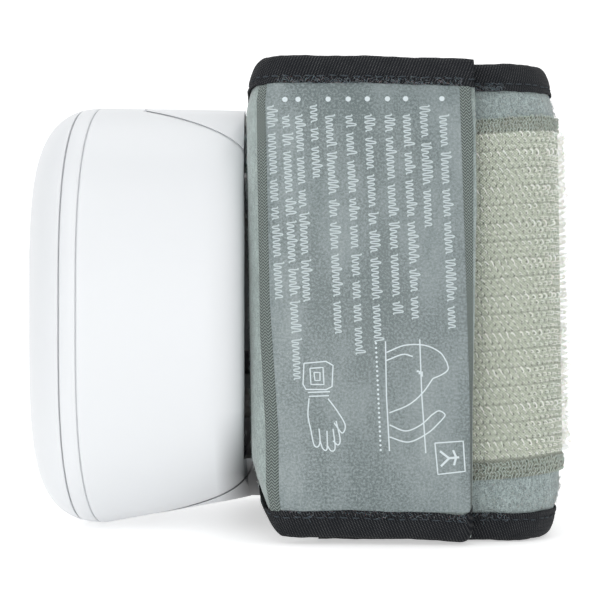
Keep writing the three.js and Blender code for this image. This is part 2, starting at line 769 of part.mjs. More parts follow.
function buildFrontCover() {
  const rear = band.front - fit.seam / 2;
  let front = caseBlock(0, rear).subtract(caseBlock(shell.wall, rear + fit.overrun, shell.wall));
  front = front.subtract(plate(windowOutline(fit.seam / 2), -fit.overrun, display.thick + fit.film));
  front = front.subtract(plate(windowOutline(-display.ledge), -fit.overrun, shell.wall + fit.overrun));
  for (const key of buttons) {
    front = front.subtract(plate(keyOutline(key, fit.seam), -fit.overrun, shell.wall + fit.overrun));
  }
  place(caseGroup, 'front_cover', front, paint.case);
  place(caseGroup, 'display_window', plate(windowOutline(-fit.seam / 2), 0, display.thick), paint.window);
}

function buildTrimBand() {
  const [front, back] = [band.front + fit.seam / 2, band.back - fit.seam / 2];
  const tongueIn = shell.wall + fit.rest;
  const ring = caseWall(front, back, 0, tongueIn + band.tongueThick);
  const tongueRing = caseWall(front - band.tongueRun, back + band.tongueRun, tongueIn, band.tongueThick);
  place(caseGroup, 'trim_band', ring.add(tongueRing), paint.case);
}

// The door's opening in the far side: its depths and heights
const doorFrom = band.back + door.frontSpace;
const doorTo = caseBack - door.backSpace;
const doorRegion = (gap, latchGap) =>
  box(at(doorFrom - gap, 0, -door.half - latchGap), at(doorTo + gap, shell.width, door.half + gap));

const screwPlaces = [-1, 1].flatMap((side) =>
  [-1, 1].map((end) => ({ y: side * screw.side, z: end * screw.end })));
const screwNames = ['low_near', 'high_near', 'low_far', 'high_far'];
const hollowAt = (y) => loopLeft - loop.bulge + loop.bulge * Math.abs(y / loop.far) - seatGap;
const coverInside = (y) => hollowAt(y) - cover.thick;

function buildRearShell() {
  const front = band.back + fit.seam / 2;
  const wall = caseWall(front, caseBack, 0, shell.wall);
  const inside = caseBlock(front, caseBack, shell.wall / 2);
  const bosses = [];
  for (const { y, z } of screwPlaces) {
    const column = rod(at(boss.from, y, z), at(boss.to, y, z), boss.radius);
    const ribEnd = Math.sign(z) * (shell.length / 2);
    const [low, high] = [Math.min(z, ribEnd), Math.max(z, ribEnd)];
    const rib = box(at(boss.from, y - boss.rib / 2, low), at(boss.ribTo, y + boss.rib / 2, high));
    const bore = rod(at(0, y, z), at(caseBack, y, z), screw.shankRadius + fit.rest);
    bosses.push(column.add(rib).intersect(inside).subtract(bore));
  }
  const lapFrom = cover.lipDepth - 2 * cover.tongueRun;
  const lap = caseBlock(lapFrom, caseBack + fit.overrun, (shell.wall - fit.rest) / 2)
    .intersect(lipRegion(cover.tongueRun + fit.seam));
  const cut = wall.subtract(cuffPrism(seatGap)).subtract(lipRegion(fit.seam)).subtract(lap);
  const rear = unite(cut, ...bosses).subtract(doorRegion(fit.seam, door.latchGap));
  place(caseGroup, 'rear_shell', rear, paint.case);
}

function buildBottomCover() {
  const inset = shell.wall + fit.rest;
  const start = cover.lipDepth - 2 * cover.tongueRun;
  const behind = cuffPrism(seatGap + cover.thick);
  const lips = caseWall(start, caseBack, 0, inset + cover.tongueThick).intersect(lipRegion(0));
  const lap = (shell.wall + fit.rest) / 2;
  const tongues = caseWall(start, caseBack, lap, inset + cover.tongueThick - lap)
    .intersect(lipRegion(cover.tongueRun));
  const saddle = caseBlock(start, caseBack, inset).intersect(behind);
  let back = unite(lips, tongues, saddle).subtract(cuffPrism(seatGap));
  for (const { y, z } of screwPlaces) {
    const face = hollowAt(y);
    const seat = face - screw.headThick - fit.rest;
    back = back.add(rod(at(boss.to + fit.rest, y, z), at(seat, y, z), boss.postRadius));
    back = back.subtract(rod(at(seat, y, z), at(face + fit.overrun, y, z), screw.headRadius + fit.rest));
    back = back.subtract(rod(at(boss.from, y, z), at(face, y, z), screw.shankRadius + fit.rest));
  }
  const reach = 2 * cover.thick + fit.overrun;
  const hole = (run, z, radius) => pathRod(run, z, -fit.overrun, reach, radius + fit.rest, clip.sides);
  for (const side of [-1, 1]) {
    for (const end of [-1, 1]) {
      const run = wallMiddle + side * clip.side;
      back = back.subtract(hole(run, end * clip.rise, clip.radius));
    }
  }
  const feed = hole(wallMiddle, -airBlock.rise, nipple.radius);
  place(caseGroup, 'bottom_cover', back.subtract(feed), paint.case);
}

function buildScrews() {
  screwPlaces.forEach(({ y, z }, index) => {
    const top = hollowAt(y) - fit.rest;
    const under = top - screw.headThick;
    const head = rod(at(under, y, z), at(top, y, z), screw.headRadius);
    const shankTop = under + screw.headThick / 2;
    const shank = rod(at(under - screw.length, y, z), at(shankTop, y, z), screw.shankRadius);
    place(caseGroup, `case_screw_${screwNames[index]}`, head.add(shank), paint.steel);
  });
}

// Display stack and circuit board
const lcdFrom = shell.wall + fit.rest;
const lcdTo = lcdFrom + lcd.thick;
const holderFrom = lcdTo + fit.rest;
const boardFrom = holderFrom + lcd.holderThick + fit.rest;
const boardTo = boardFrom + board.thick;

// Depths of the two cells
const cellDepths = [holderFrom + lcd.holderThick + fit.seam + cell.radius];
cellDepths.push(cellDepths[0] + 2 * cell.radius + cell.space);

// Door of the battery bay, with two tongues that hook under the shell at its upper edge
function buildDoor() {
  const panel = caseWall(band.back, caseBack, 0, shell.wall).intersect(doorRegion(0, 0));
  const firstLug = doorFrom + fit.seam;
  const lugs = [firstLug, firstLug + tongue.apart].map((from) => {
    const lowest = cell.side + cell.radius + 2 * fit.rest;
    const span = (low, high) => box(at(from, lowest, low), at(from + tongue.wide, shell.width, high));
    const inset = shell.wall + fit.rest;
    const lug = caseWall(band.back, caseBack, inset, tongue.thick)
      .intersect(span(door.half - tongue.root, door.half + tongue.run));
    const root = caseWall(band.back, caseBack, shell.wall / 2, shell.wall / 2 + fit.rest + tongue.thick)
      .intersect(span(door.half - tongue.root, door.half - fit.seam));
    return lug.add(root);
  });
  place(caseGroup, 'battery_door', unite(panel, ...lugs), paint.case);
}

function buildButtons() {
  const flangeFrom = shell.wall + fit.rest;
  for (const key of buttons) {
    const cap = plate(keyOutline(key, 0), -button.proud, flangeFrom + keySeat.flangeThick);
    const flange = plate(keyOutline(key, keySeat.flange), flangeFrom, flangeFrom + keySeat.flangeThick);
    place(caseGroup, `${key.name}_button`, cap.add(flange), paint.button);
  }
}

function buildElectronics() {
  place(caseGroup, 'lcd_panel', plate(windowOutline(lcd.margin), lcdFrom, lcdTo), paint.lcd);
  const frameOut = plate(windowOutline(lcd.margin + lcd.holderRim), holderFrom, holderFrom + lcd.holderThick);
  const frame = frameOut.subtract(plate(windowOutline(-lcd.holderRim), 0, boardFrom));
  place(caseGroup, 'lcd_holder', frame, paint.inner);
  const width = board.nearSide + board.farSide;
  const outline = roundedRect(width, 2 * board.half, board.radius, (board.farSide - board.nearSide) / 2, 0);
  place(caseGroup, 'circuit_board', plate(outline, boardFrom, boardTo), paint.board);
  for (const key of buttons) {
    const back = boardFrom - fit.rest;
    const front = back - keySwitch.thick;
    const half = keySwitch.size / 2;
    const [left, right] = [key.side - half, key.side + half];
    const body = box(at(front, left, rowMiddle - half), at(back, right, rowMiddle + half));
    const tipFront = front - keySwitch.plungerHeight;
    const tip = rod(at(tipFront, key.side, rowMiddle), at(back, key.side, rowMiddle), keySwitch.plunger);
    place(caseGroup, `${key.name}_switch`, body.add(tip), paint.black);
  }
  const onBoard = boardTo + fit.rest;
  const onDisc = (depth) => at(depth, -buzzer.side, buzzer.rise);
  const disc = rod(onDisc(onBoard), onDisc(onBoard + buzzer.thick), buzzer.radius, pump.sides);
  place(caseGroup, 'buzzer', disc, paint.black);
}

// Battery bay
function buildBattery() {
  const floor = cell.side - cell.radius - tray.floorGap;
  const front = cellDepths[0] - cell.radius;
  const backIn = cellDepths[1] + cell.radius + fit.rest;
  const lip = floor + tray.lip;
  const outer = box(
    at(front, floor - tray.wall, -tray.half - tray.wall),
    at(backIn + tray.backWall, lip, tray.half + tray.wall),
  );
  const hollow = box(at(front - fit.overrun, floor, -tray.half), at(backIn, lip + fit.overrun, tray.half));
  const clear = shell.wall + band.tongueThick + 2 * fit.rest;
  const bay = outer.subtract(hollow)
    .intersect(caseBlock(band.front - band.tongueRun, caseBack, clear))
    .subtract(cuffPrism(seatGap + cover.thick + fit.rest));
  place(caseGroup, 'battery_tray', bay, paint.inner);

  cellDepths.forEach((x, index) => {
    const up = index === 0 ? 1 : -1; // the cells lie the opposite way round
    const upright = (from) => (to) => [at(x, cell.side, up * from), at(x, cell.side, up * to)];
    const bar = (from, to, radius, sides) => rod(...upright(from)(to), radius, sides);
    const sheet = (from, to) => box(
      at(x - spring.plateHalf, cell.side - spring.plateHalf, Math.min(up * from, up * to)),
      at(x + spring.plateHalf, cell.side + spring.plateHalf, Math.max(up * from, up * to)),
    );
    const springPlate = -tray.half + fit.rest;
    const coilEnd = springPlate + spring.plate + spring.length;
    const bodyFrom = coilEnd + fit.rest;
    const bodyTo = bodyFrom + cell.length;
    const capTo = bodyTo + cell.capLength;
    const body = bar(bodyFrom, bodyTo, cell.radius, cell.sides);
    const cap = bar(bodyTo - cell.capLength, capTo, cell.capRadius, cell.sides);
    const number = index + 1;
    place(caseGroup, `battery_cell_${number}`, body.add(cap), paint.cell);
    const plateFrom = capTo + fit.rest;
    place(caseGroup, `plate_contact_${number}`, sheet(plateFrom, plateFrom + spring.plate), paint.steel);
    const coil = coilBetween(x, up * (springPlate + spring.plate / 2), up * (coilEnd - spring.wire / 2));
    const contact = sheet(springPlate, springPlate + spring.plate).add(coil);
    place(caseGroup, `spring_contact_${number}`, contact, paint.steel);
  });
}

function tube(path, shape, steps) {
  return solid(new THREE.ExtrudeGeometry(shape, { steps, extrudePath: path, curveSegments: 1 }));
}

function ringOutline(radius, sides, bore = 0) {
  const round = (size) => Array.from({ length: sides }, (_, index) => {
    const angle = (index / sides) * 2 * Math.PI;
    return new THREE.Vector2(Math.cos(angle) * size, Math.sin(angle) * size);
  });
  const shape = new THREE.Shape(round(radius));
  if (bore) shape.holes.push(new THREE.Path(round(bore)));
  return shape;
}

function coilBetween(x, from, to) {
  const steps = spring.turns * spring.steps;
  const points = Array.from({ length: steps + 1 }, (_, index) => {
    const share = index / steps;
    const angle = share * spring.turns * 2 * Math.PI;
    const [cosine, sine] = [Math.cos(angle), Math.sin(angle)].map((part) => part * spring.coilRadius);
    return at(x + cosine, cell.side + sine, THREE.MathUtils.lerp(from, to, share));
  });
  return tube(new THREE.CatmullRomCurve3(points), ringOutline(spring.wire / 2, spring.sides), steps);
}

// Pump, valve, sensor and the hoses between them
function buildPump() {
  const along = (z, y = -pump.side) => at(pump.depth, y, z);
  const motorTop = pump.length - pump.low;
  const neckTop = motorTop + pump.neckLength;
  const headFrom = neckTop + fit.rest;
  const headTo = headFrom + pumpHead.length;
  const bore = rod(along(motorTop - crank.shaftIn - fit.rest), along(headTo), crank.shaftRadius + fit.rest);
  const motor = unite(
    rod(along(-pump.low), along(motorTop), pump.radius, pump.sides),
    rod(along(motorTop - pump.neckLength), along(neckTop), pump.neck),
  ).subtract(bore);
  place(caseGroup, 'pump_motor', motor, paint.steel);

  const discFrom = headFrom + fit.rest;
  const discTo = discFrom + crank.discThick;
  const pin = rod(
    along(discTo - crank.discThick / 2, crank.throw - pump.side),
    along(discTo + crank.pinLength, crank.throw - pump.side),
    crank.pinRadius,
  );
  const turning = unite(
    rod(along(motorTop - crank.shaftIn), along(discTo - crank.discThick / 2), crank.shaftRadius),
    rod(along(discFrom), along(discTo), crank.discRadius, pump.sides),
    pin,
  );
  place(caseGroup, 'pump_crank', turning, paint.brass);

  const nozzleRise = (headFrom + headTo) / 2;
  const headSide = -pump.side + pumpHead.half;
  const cavityTo = headFrom + pumpHead.cavityDepth;
  const cavity = rod(along(headFrom - fit.overrun), along(cavityTo), pumpHead.cavityRadius, pump.sides);
  const head = box(
    at(pump.depth - pumpHead.half, -pump.side - pumpHead.half, headFrom),
    at(pump.depth + pumpHead.half, headSide, headTo),
  ).subtract(cavity);
  const outletAt = (out) => along(nozzleRise, headSide + out);
  const outlet = rod(outletAt(-nozzle.length), outletAt(nozzle.length), nozzle.radius);
  place(caseGroup, 'pump_head', head.add(outlet), paint.inner);

  const onBoard = boardTo + fit.rest;
  const blockTo = coverInside(0) - fit.rest;
  const blockFrom = blockTo - airBlock.thick;
  const blockMiddle = (blockFrom + blockTo) / 2;
  const blockTop = -airBlock.rise + airBlock.half;
  const inBlock = blockTop - nozzle.length;
  const nozzleTop = blockTop + nozzle.length;
  const block = unite(
    box(
      at(blockFrom, -airBlock.length / 2, -airBlock.rise - airBlock.half),
      at(blockTo, airBlock.length / 2, blockTop),
    ),
    ...[-1, 1].map((side) =>
      rod(
        at(blockMiddle, side * airBlock.nozzleSide, inBlock),
        at(blockMiddle, side * airBlock.nozzleSide, nozzleTop),
        nozzle.radius,
      )),
    rod(at(blockFrom - nozzle.length, 0, -airBlock.rise), at(blockMiddle, 0, -airBlock.rise), nozzle.radius),
  );
  const socket = rod(
    at(blockTo - airBlock.plug, 0, -airBlock.rise),
    at(blockTo + fit.overrun, 0, -airBlock.rise),
    nipple.radius + fit.rest,
  );
  place(caseGroup, 'air_block', block.subtract(socket), paint.inner);

  const sensorTo = onBoard + sensor.thick;
  const sensorBody = box(
    at(onBoard, -sensor.half, -airBlock.rise - sensor.half),
    at(sensorTo, sensor.half, -airBlock.rise + sensor.half),
  );
  const onPort = (depth) => at(depth, 0, -airBlock.rise);
  const port = rod(onPort(sensorTo - sensor.thick / 2), onPort(sensorTo + nozzle.length), nozzle.radius);
  place(caseGroup, 'pressure_sensor', sensorBody.add(port), paint.black);

  const valveTo = onBoard + 2 * valve.half;
  const valveRise = valve.rise + valve.nozzleRise;
  const valveBody = box(
    at(onBoard, valve.side - valve.half, valve.rise - valve.length / 2),
    at(valveTo, valve.side + valve.half, valve.rise + valve.length / 2),
  );
  const onVent = (depth) => at(depth, valve.side, valveRise);
  const vent = rod(onVent(valveTo - nozzle.length), onVent(valveTo + nozzle.length), nozzle.radius);
  place(caseGroup, 'release_valve', valveBody.add(vent), paint.black);

  const bend = (from, fromWay, to, toWay) => new THREE.CubicBezierCurve3(
    from,
    from.clone().addScaledVector(fromWay, hose.bend),
    to.clone().addScaledVector(toWay, hose.bend),
    to,
  );
  const onBlock = (side) => at(blockMiddle, side * airBlock.nozzleSide, blockTop + nozzle.bare);
  const [ahead, aside, upwards] = [at(1, 0, 0), at(0, 1, 0), at(0, 0, 1)];
  const hoses = {
    pump: bend(along(nozzleRise, headSide + nozzle.bare), aside, onBlock(-1), upwards),
    valve: bend(at(valveTo + nozzle.bare, valve.side, valveRise), ahead, onBlock(1), upwards),
    sensor: new THREE.LineCurve3(
      at(sensorTo + nozzle.bare, 0, -airBlock.rise),
      at(blockFrom - nozzle.bare, 0, -airBlock.rise),
    ),
  };
  for (const [name, path] of Object.entries(hoses)) {
    const steps = path.isLineCurve3 ? 1 : hose.steps;
    const outline = ringOutline(hose.radius, hose.sides, hose.bore);
    place(caseGroup, `${name}_hose`, tube(path, outline, steps), paint.silicone);
  }
}

buildFrontCover();
buildTrimBand();
buildRearShell();
buildBottomCover();
buildScrews();
buildDoor();
buildButtons();
buildElectronics();
buildBattery();
buildPump();
buildCuff();
buildBindings(stretch(loopPath, foldRun + flap.foldGap / 2, loopEnd), 'band', (sample) => -thickAt(sample));
buildFlap();
buildHookTape();

export default whole;
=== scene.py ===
"""Looks of the wrist blood pressure monitor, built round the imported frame.

Lengths are in millimetres and become metres when a piece is made. Depths along X start at the
front face of the case; the cuff is described by its run along the path, its outward offset and Z.
"""

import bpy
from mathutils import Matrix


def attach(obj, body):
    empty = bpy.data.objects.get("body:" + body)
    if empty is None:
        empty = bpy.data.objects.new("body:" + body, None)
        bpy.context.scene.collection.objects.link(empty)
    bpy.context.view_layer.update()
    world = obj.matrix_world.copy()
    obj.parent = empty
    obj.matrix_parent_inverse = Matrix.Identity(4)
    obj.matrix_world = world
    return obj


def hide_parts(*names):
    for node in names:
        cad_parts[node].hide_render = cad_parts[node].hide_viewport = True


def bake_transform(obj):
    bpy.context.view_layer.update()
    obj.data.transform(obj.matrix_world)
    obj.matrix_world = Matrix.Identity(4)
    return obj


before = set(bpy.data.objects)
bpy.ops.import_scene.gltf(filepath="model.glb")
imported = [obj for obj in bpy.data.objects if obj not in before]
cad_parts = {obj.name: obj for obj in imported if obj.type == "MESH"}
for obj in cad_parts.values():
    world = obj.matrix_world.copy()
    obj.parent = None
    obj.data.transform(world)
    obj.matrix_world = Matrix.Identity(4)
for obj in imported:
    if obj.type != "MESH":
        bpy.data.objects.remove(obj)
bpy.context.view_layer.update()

import math

import bmesh
import bpy
import numpy as np
from mathutils import Vector

MM = 0.001
TAU = 2 * math.pi
random = np.random.default_rng(11)

# Case
SHIFT, RISE = 42.6, 34.4  # depth of the middle of the whole object, height of the middle of the case
WIDTH, LENGTH, DEPTH, WALL = 69.0, 68.8, 34.3, 2.2
FRONT_ROUND, BACK_ROUND, BACK_IN = 10.3, 6.0, 4.5
SIDE_TAPER, LOW_TAPER, HIGH_TAPER, END_SWEEP = 2.0, 4.2, 0.3, 1.0
FLAT_WIDTH, FLAT_LENGTH, SQUARE, FRONT_SQUARE = 0.5, 0.61, 2.76, 3.3
BAND_FRONT, BAND_BACK, BAND_WALL, BAND_RIB = 6.8, 9.5, 1.7, 3.4
SEAM, VISIBLE_SEAM, GROOVE, EDGE_ROUND, FRONT_TONGUE, BAND_TONGUE = 0.2, 0.16, 0.2, 0.16, 1.6, 1.4
LIP_START, LIP_WALL, LIP_FOOT = 13.2, WALL + 1.3, 23.4
LIP_BEND, LIP_TOP = (34.7, 28.6), (18, 33)  # places on the curved seam, as depth and height
PAINTED_SHADE_FRONT, PAINTED_SHADE_BACK, PAINTED_SHADE_LOW, PAINTED_SHADE_HIGH = DEPTH - 4.5, DEPTH + 0.4, 10, 20  # painted shade where the case runs in behind the cuff
CASE_SIDES = 224
SADDLE, SADDLE_WALL, SADDLE_REACH = 2.6, WALL + 0.3, 2.4  # the saddle holds the cuff at both ends of the case
CAP_SHARES = [0.02, *np.linspace(0.12, 1, 9)]
DOOR_LOW, DOOR_HIGH, DOOR_HALF = BAND_BACK + 1.6, DEPTH - 4.6, 23.4
WINDOW_WIDTH, WINDOW_HEIGHT, WINDOW_ROW = 34, 23, RISE - 4.4
WINDOW_LEDGE, MASK_DEPTH = 1.52, 1.46
KEYS = {"start": (23.0, 5.8), "memory": (8.0, -13.3)}  # length and place of each key
KEY_HEIGHT, KEY_ROW, MARK_REACH = 8, RISE + 12.9, 1.3

# Cuff
LOOP_LEFT, LOOP_RIGHT, FAR, FLAP_END, TAIL_END = 35.2, 83.7, 30.4, 69.4, 45.0
NEAR_LEFT, NEAR_SLOPE, FLAP_OUT = 28.1, 1.9 / 48.5, 3.97
FOLD_RADIUS, MIDDLE, LEAN, PINCH, PINCH_REACH = 6.6, 36.9, 0.0156, 2.0, 7.2
CUFF_LOW, CUFF_WIDTH, FLAP_THICK, CUFF_THICK, CLOTH_IN = 0.2, 72.8, 2.3, 5.7, 0.75
BINDING, BINDING_THICK, BINDING_FOLD, FILM_GAP = 4.4, 0.45, 0.9, 0.12
FILM_LOW, FILM_HIGH, TWILL = 5.2, 69.6, 2.1
STITCH, THREAD = 1.75, 0.13
SEAT_GAP, HINGE_HALF, HINGE_ROW, LEAN_RUN, TAPE_FRONT = 0.87, 3.2, 37.0, 29, 29
EDGE_CLIMB, EDGE_DROP, EDGE_RUN, EDGE_BACK, RIM_LEVEL = 5.6, 1.3, 7, 14, 5.3  # cuff edges behind the case
SIDE_HEIGHTS, SIDE_PULL = [0, 4, 12, 60, 70], [1.3, 0.9, 0.55, 0.5, 0.7]  # how far the tail's side lies in
PRINT_WIDTH, BOLD_WIDTH, PRINT_OUT, PRINT_TILT = 0.19, 0.32, 0.03, 0.043
VIEW_MIDDLE, VIEW_SCALE, VIEW_DEPTH = 300, 6.67, 42.83  # view in which the label's print is laid out
TAPE_LOW, TAPE_HIGH, TAPE_BACKING = 9.6, 64.1, 0.2
HOOK_LOW, HOOK_HIGH, BAND_PITCH, COLUMN_PITCH = 12.55, 61.9, 2.74, 1.04

# Hooks: the rows of a band, the path of one hook and the sizes of the six kinds
HOOK_ROWS = (0.5, 1.41, 2.32)
OUT_STEPS = np.array([0, 0.4, 0.7, 0.9, 1.0, 0.98, 0.86, 0.66])
SIDE_STEPS = np.array([-0.5, -0.47, -0.4, -0.24, 0.0, 0.28, 0.46, 0.5])
RISE_STEPS = np.array([-0.5, -0.5, -0.44, -0.22, 0.1, 0.42, 0.5, 0.36])
THICK_STEPS = np.array([0.8, 0.75, 0.8, 0.9, 1.05, 1.15, 1.1, 0.8])
HOOK_WIDTHS = np.array([0.4, 0.42, 0.56, 0.38, 0.4, 0.48])
HOOK_CLIMBS = np.array([0.4, 0.45, 0.75, 0.36, 0.42, 0.55])
HOOK_RADII = np.array([0.065, 0.07, 0.105, 0.06, 0.065, 0.085])
HOOK_HEIGHT, STRAYS = 1.05, 0.3

# Hoses and cells
HOSE_OUTER, HOSE_INNER, HOSE_SIDES = 2.3, 1.65, 28
CELL_SIDE = 17.2
CELL_SHAPE = [(4.2, -20.75), (4.9, -20.7), (5.25, -20.3), (5.25, 22.3), (4.9, 22.85), (4.3, 22.95),
              (1.9, 22.95), (1.9, 23.5), (1.6, 23.75)]
SLEEVE_SHAPE = [(5.2, 13), (5.27, 13), (5.27, 22), (5.2, 22)]


def clamp(value, low=0.0, high=1.0):
    return np.clip(value, low, high)


def smoothstep(value, low, high):
    share = clamp((value - low) / (high - low))
    return share * share * (3 - 2 * share)


def lerp(low, high, share):
    return low + (high - low) * share


def unit(ways):
    return ways / np.maximum(np.linalg.norm(ways, axis=-1, keepdims=True), 1e-9)


# Helpers for meshes

def at_metres(points):
    return (np.array(points, float) - (SHIFT, 0, 0)) * MM


def make_mesh(name, points, faces, uv=None, sharp=38):
    """A mesh from points in millimetres, smooth but for edges sharper than an angle."""
    mesh = bpy.data.meshes.new(name)
    mesh.from_pydata(at_metres(points).reshape(-1, 3).tolist(), [], [tuple(map(int, face)) for face in faces])
    if uv is not None:
        layer = mesh.uv_layers.new(name="run")
        loops = np.zeros(len(mesh.loops), np.int32)
        mesh.loops.foreach_get("vertex_index", loops)
        layer.data.foreach_set("uv", np.array(uv, float).reshape(-1, 2)[loops].ravel())
    finish_mesh(mesh, sharp)
    return mesh


def finish_mesh(mesh, sharp=38):
    work = bmesh.new()
    work.from_mesh(mesh)
    bmesh.ops.recalc_face_normals(work, faces=work.faces)
    work.to_mesh(mesh)
    work.free()
    mesh.shade_smooth()
    mesh.set_sharp_from_angle(angle=math.radians(sharp))


def new_object(name, data):
    thing = bpy.data.objects.new(name, data)
    bpy.context.scene.collection.objects.link(thing)
    return thing


def paint(thing, look):
    slot, material = looks[look]
    thing.data.materials.clear()
    thing.data.materials.append(material)


def dress(thing, look, body="monitor", replaces=()):
    """Gives a piece its look, the body that it rides on and the nodes it stands for."""
    paint(thing, look)
    if replaces:
        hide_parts(*replaces)
    if body:
        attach(thing, body)
    return thing


def piece(name, points, faces, look, body="monitor", replaces=(), uv=None, sharp=38):
    return dress(new_object(name, make_mesh(name, points, faces, uv, sharp)), look, body, replaces)


def boolean(target, cutter, operation="DIFFERENCE"):
    change = target.modifiers.new("cut", "BOOLEAN")
    change.operation, change.solver, change.object = operation, "EXACT", cutter
    mesh = bpy.data.meshes.new_from_object(target.evaluated_get(bpy.context.evaluated_depsgraph_get()))
    target.modifiers.clear()
    target.data = mesh
    bpy.data.objects.remove(cutter)


def grid_faces(rings, count, around=True, close=False):
    """Quads between rings of equal count; around joins the ring's ends, close joins last to first."""
    ring = np.arange(rings if close else rings - 1)[:, None]
    spot = np.arange(count if around else count - 1)[None, :]
    right, above = (spot + 1) % count, (ring + 1) % rings
    corners = [ring * count + spot, ring * count + right, above * count + right, above * count + spot]
    return np.stack(np.broadcast_arrays(*corners), -1).reshape(-1, 4)


def tube_faces(rings, count, first=0):
    """Faces of a body made of rings, closed over its first and its last ring."""
    index = np.arange(first, first + rings * count)
    return [*(grid_faces(rings, count) + first), index[:count][::-1], index[-count:]]


def prism(outline, axis, low, high):
    """A straight solid over an outline in the two other axes, for cutting."""
    outline = np.array(outline, float)
    points = np.concatenate([np.insert(outline, axis, level, axis=1) for level in (low, high)])
    return new_object("cutter", make_mesh("cutter", points, tube_faces(2, len(outline))))


def rounded_rectangle(width, height, radius, y, z):
    points = []
    for turn, (side, end) in enumerate([(1, 1), (-1, 1), (-1, -1), (1, -1)]):
        for angle in np.linspace(turn, turn + 1, 14) * TAU / 4:
            centre = (y + side * (width / 2 - radius), z + end * (height / 2 - radius))
            points.append((centre[0] + radius * math.cos(angle), centre[1] + radius * math.sin(angle)))
    return points


# Helpers for materials

class Shader:
    """A material with a Principled shader, and short calls that add nodes to it."""

    def __init__(self, name, color, roughness, **inputs):
        self.material = bpy.data.materials.new(name)
        self.material.use_nodes = True
        self.tree = self.material.node_tree
        self.main = self.tree.nodes["Principled BSDF"]
        self.set(self.main, {"Base Color": (*color, 1), "Roughness": roughness, **inputs})

    def set(self, node, inputs):
        for key, value in inputs.items():
            socket = node.inputs[key]
            if isinstance(value, bpy.types.NodeSocket):
                self.tree.links.new(value, socket)
            else:
                socket.default_value = value

    def add(self, kind, inputs, output, **settings):
        node = self.tree.nodes.new("ShaderNode" + kind)
        for key, value in settings.items():
            setattr(node, key, value)
        self.set(node, inputs)
        return node.outputs[output]

    def math(self, operation, *values):
        return self.add("Math", dict(enumerate(values)), 0, operation=operation)

    def times(self, first, second):
        return self.math("MULTIPLY", first, second)

    def plus(self, first, second):
        return self.math("ADD", first, second)

    def wave(self, value, pitch, kind="SINE"):
        return self.math(kind, self.times(value, TAU / pitch))

    def vector(self, operation, first, second):
        return self.add("VectorMath", {0: first, 1: second}, 0, operation=operation)

    def place(self, uv=False):
        return self.add("TexCoord", {}, "UV" if uv else "Object")

    def parts(self, vector, *axes):
        node = self.add("SeparateXYZ", {"Vector": vector}, "X").node
        return [node.outputs[axis] for axis in axes]

    def noise(self, where, scale, detail=3.0, roughness=0.55):
        return self.add("TexNoise", {
            "Vector": where, "Scale": scale, "Detail": detail, "Roughness": roughness}, "Fac")

    def ramp(self, value, stops):
        color = self.add("ValToRGB", {"Fac": value}, "Color")
        marks = color.node.color_ramp.elements
        for index, (spot, shade) in enumerate(stops):
            mark = marks[index] if index < 2 else marks.new(spot)
            mark.position, mark.color = spot, (*shade, 1)
        return color

    def spread(self, value, low, high, to_low, to_high):
        return self.add("MapRange", {
            "Value": value, "From Min": low, "From Max": high, "To Min": to_low, "To Max": to_high}, "Result")

    def mix(self, share, first, second):
        first, second = (color if isinstance(color, bpy.types.NodeSocket) else (*color, 1)
                         for color in (first, second))
        return self.add("Mix", {0: share, 6: first, 7: second}, 2, data_type="RGBA")

    def wear(self, bump, distance, strength, normal=None, **inputs):
        """Ends the material with its relief and its last inputs."""
        relief = {"Height": bump, "Distance": distance * MM, "Strength": strength}
        if normal is not None:
            relief["Normal"] = normal
        inputs["Normal"] = self.add("Bump", relief, "Normal")
        self.set(self.main, {key.replace("_", " "): value for key, value in inputs.items()})
        return self.material


def linear(red, green, blue):
    """A colour as seen on a screen, from 0 to 255, as the renderer counts it."""
    share = np.array([red, green, blue]) / 255
    return tuple(np.where(share <= 0.04045, share / 12.92, ((share + 0.055) / 1.055) ** 2.4).tolist())


def dark(color, share):
    return tuple(part * share for part in color)


def plastic(name, color, roughness, grain=0.004, edge=0.0, foot=0.0, **inputs):
    """Moulded plastic: fine grain, faint blotches in its gloss and softened edges. The foot is the part of
    the case that runs in behind the cuff; foot is the strength of a painted shade that darkens it there."""
    shader = Shader(name, linear(*color), roughness, **inputs)
    color = linear(*color)
    where = shader.place()
    fine, broad = shader.noise(where, 5200), shader.noise(where, 55)
    normal = shader.add("Bevel", {"Radius": edge * MM}, "Normal") if edge else None
    tint = shader.mix(broad, dark(color, 0.985), color)
    # painted shade: the colour darkens towards the back and the bottom of the case, where it runs in behind
    # the cuff
    if foot:
        depth, rise = shader.parts(where, "X", "Z")
        back = shader.spread(depth, (PAINTED_SHADE_FRONT - SHIFT) * MM, (PAINTED_SHADE_BACK - SHIFT) * MM, 0, 1)
        low = shader.spread(rise, PAINTED_SHADE_LOW * MM, PAINTED_SHADE_HIGH * MM, foot, 0)
        tint = shader.vector("MULTIPLY", tint, shader.math("SUBTRACT", 1.0, shader.times(back, low)))
    return shader.wear(fine, grain, 0.6, normal, Base_Color=tint,
                       Roughness=shader.spread(broad, 0.3, 0.7, roughness - 0.04, roughness + 0.05))


def metal(name, color, roughness):
    """Plated metal with drawn lines and faint stains."""
    color = linear(*color)
    shader = Shader(name, color, roughness, Metallic=1.0)
    where = shader.place()
    long = shader.add("Mapping", {"Vector": where, "Scale": (1, 1, 0.05)}, "Vector")
    lines, stain = shader.noise(long, 9000), shader.noise(where, 260)
    return shader.wear(lines, 0.004, 0.5, Base_Color=shader.mix(stain, dark(color, 0.86), color),
                       Roughness=shader.spread(lines, 0.3, 0.7, roughness - 0.08, roughness + 0.12))


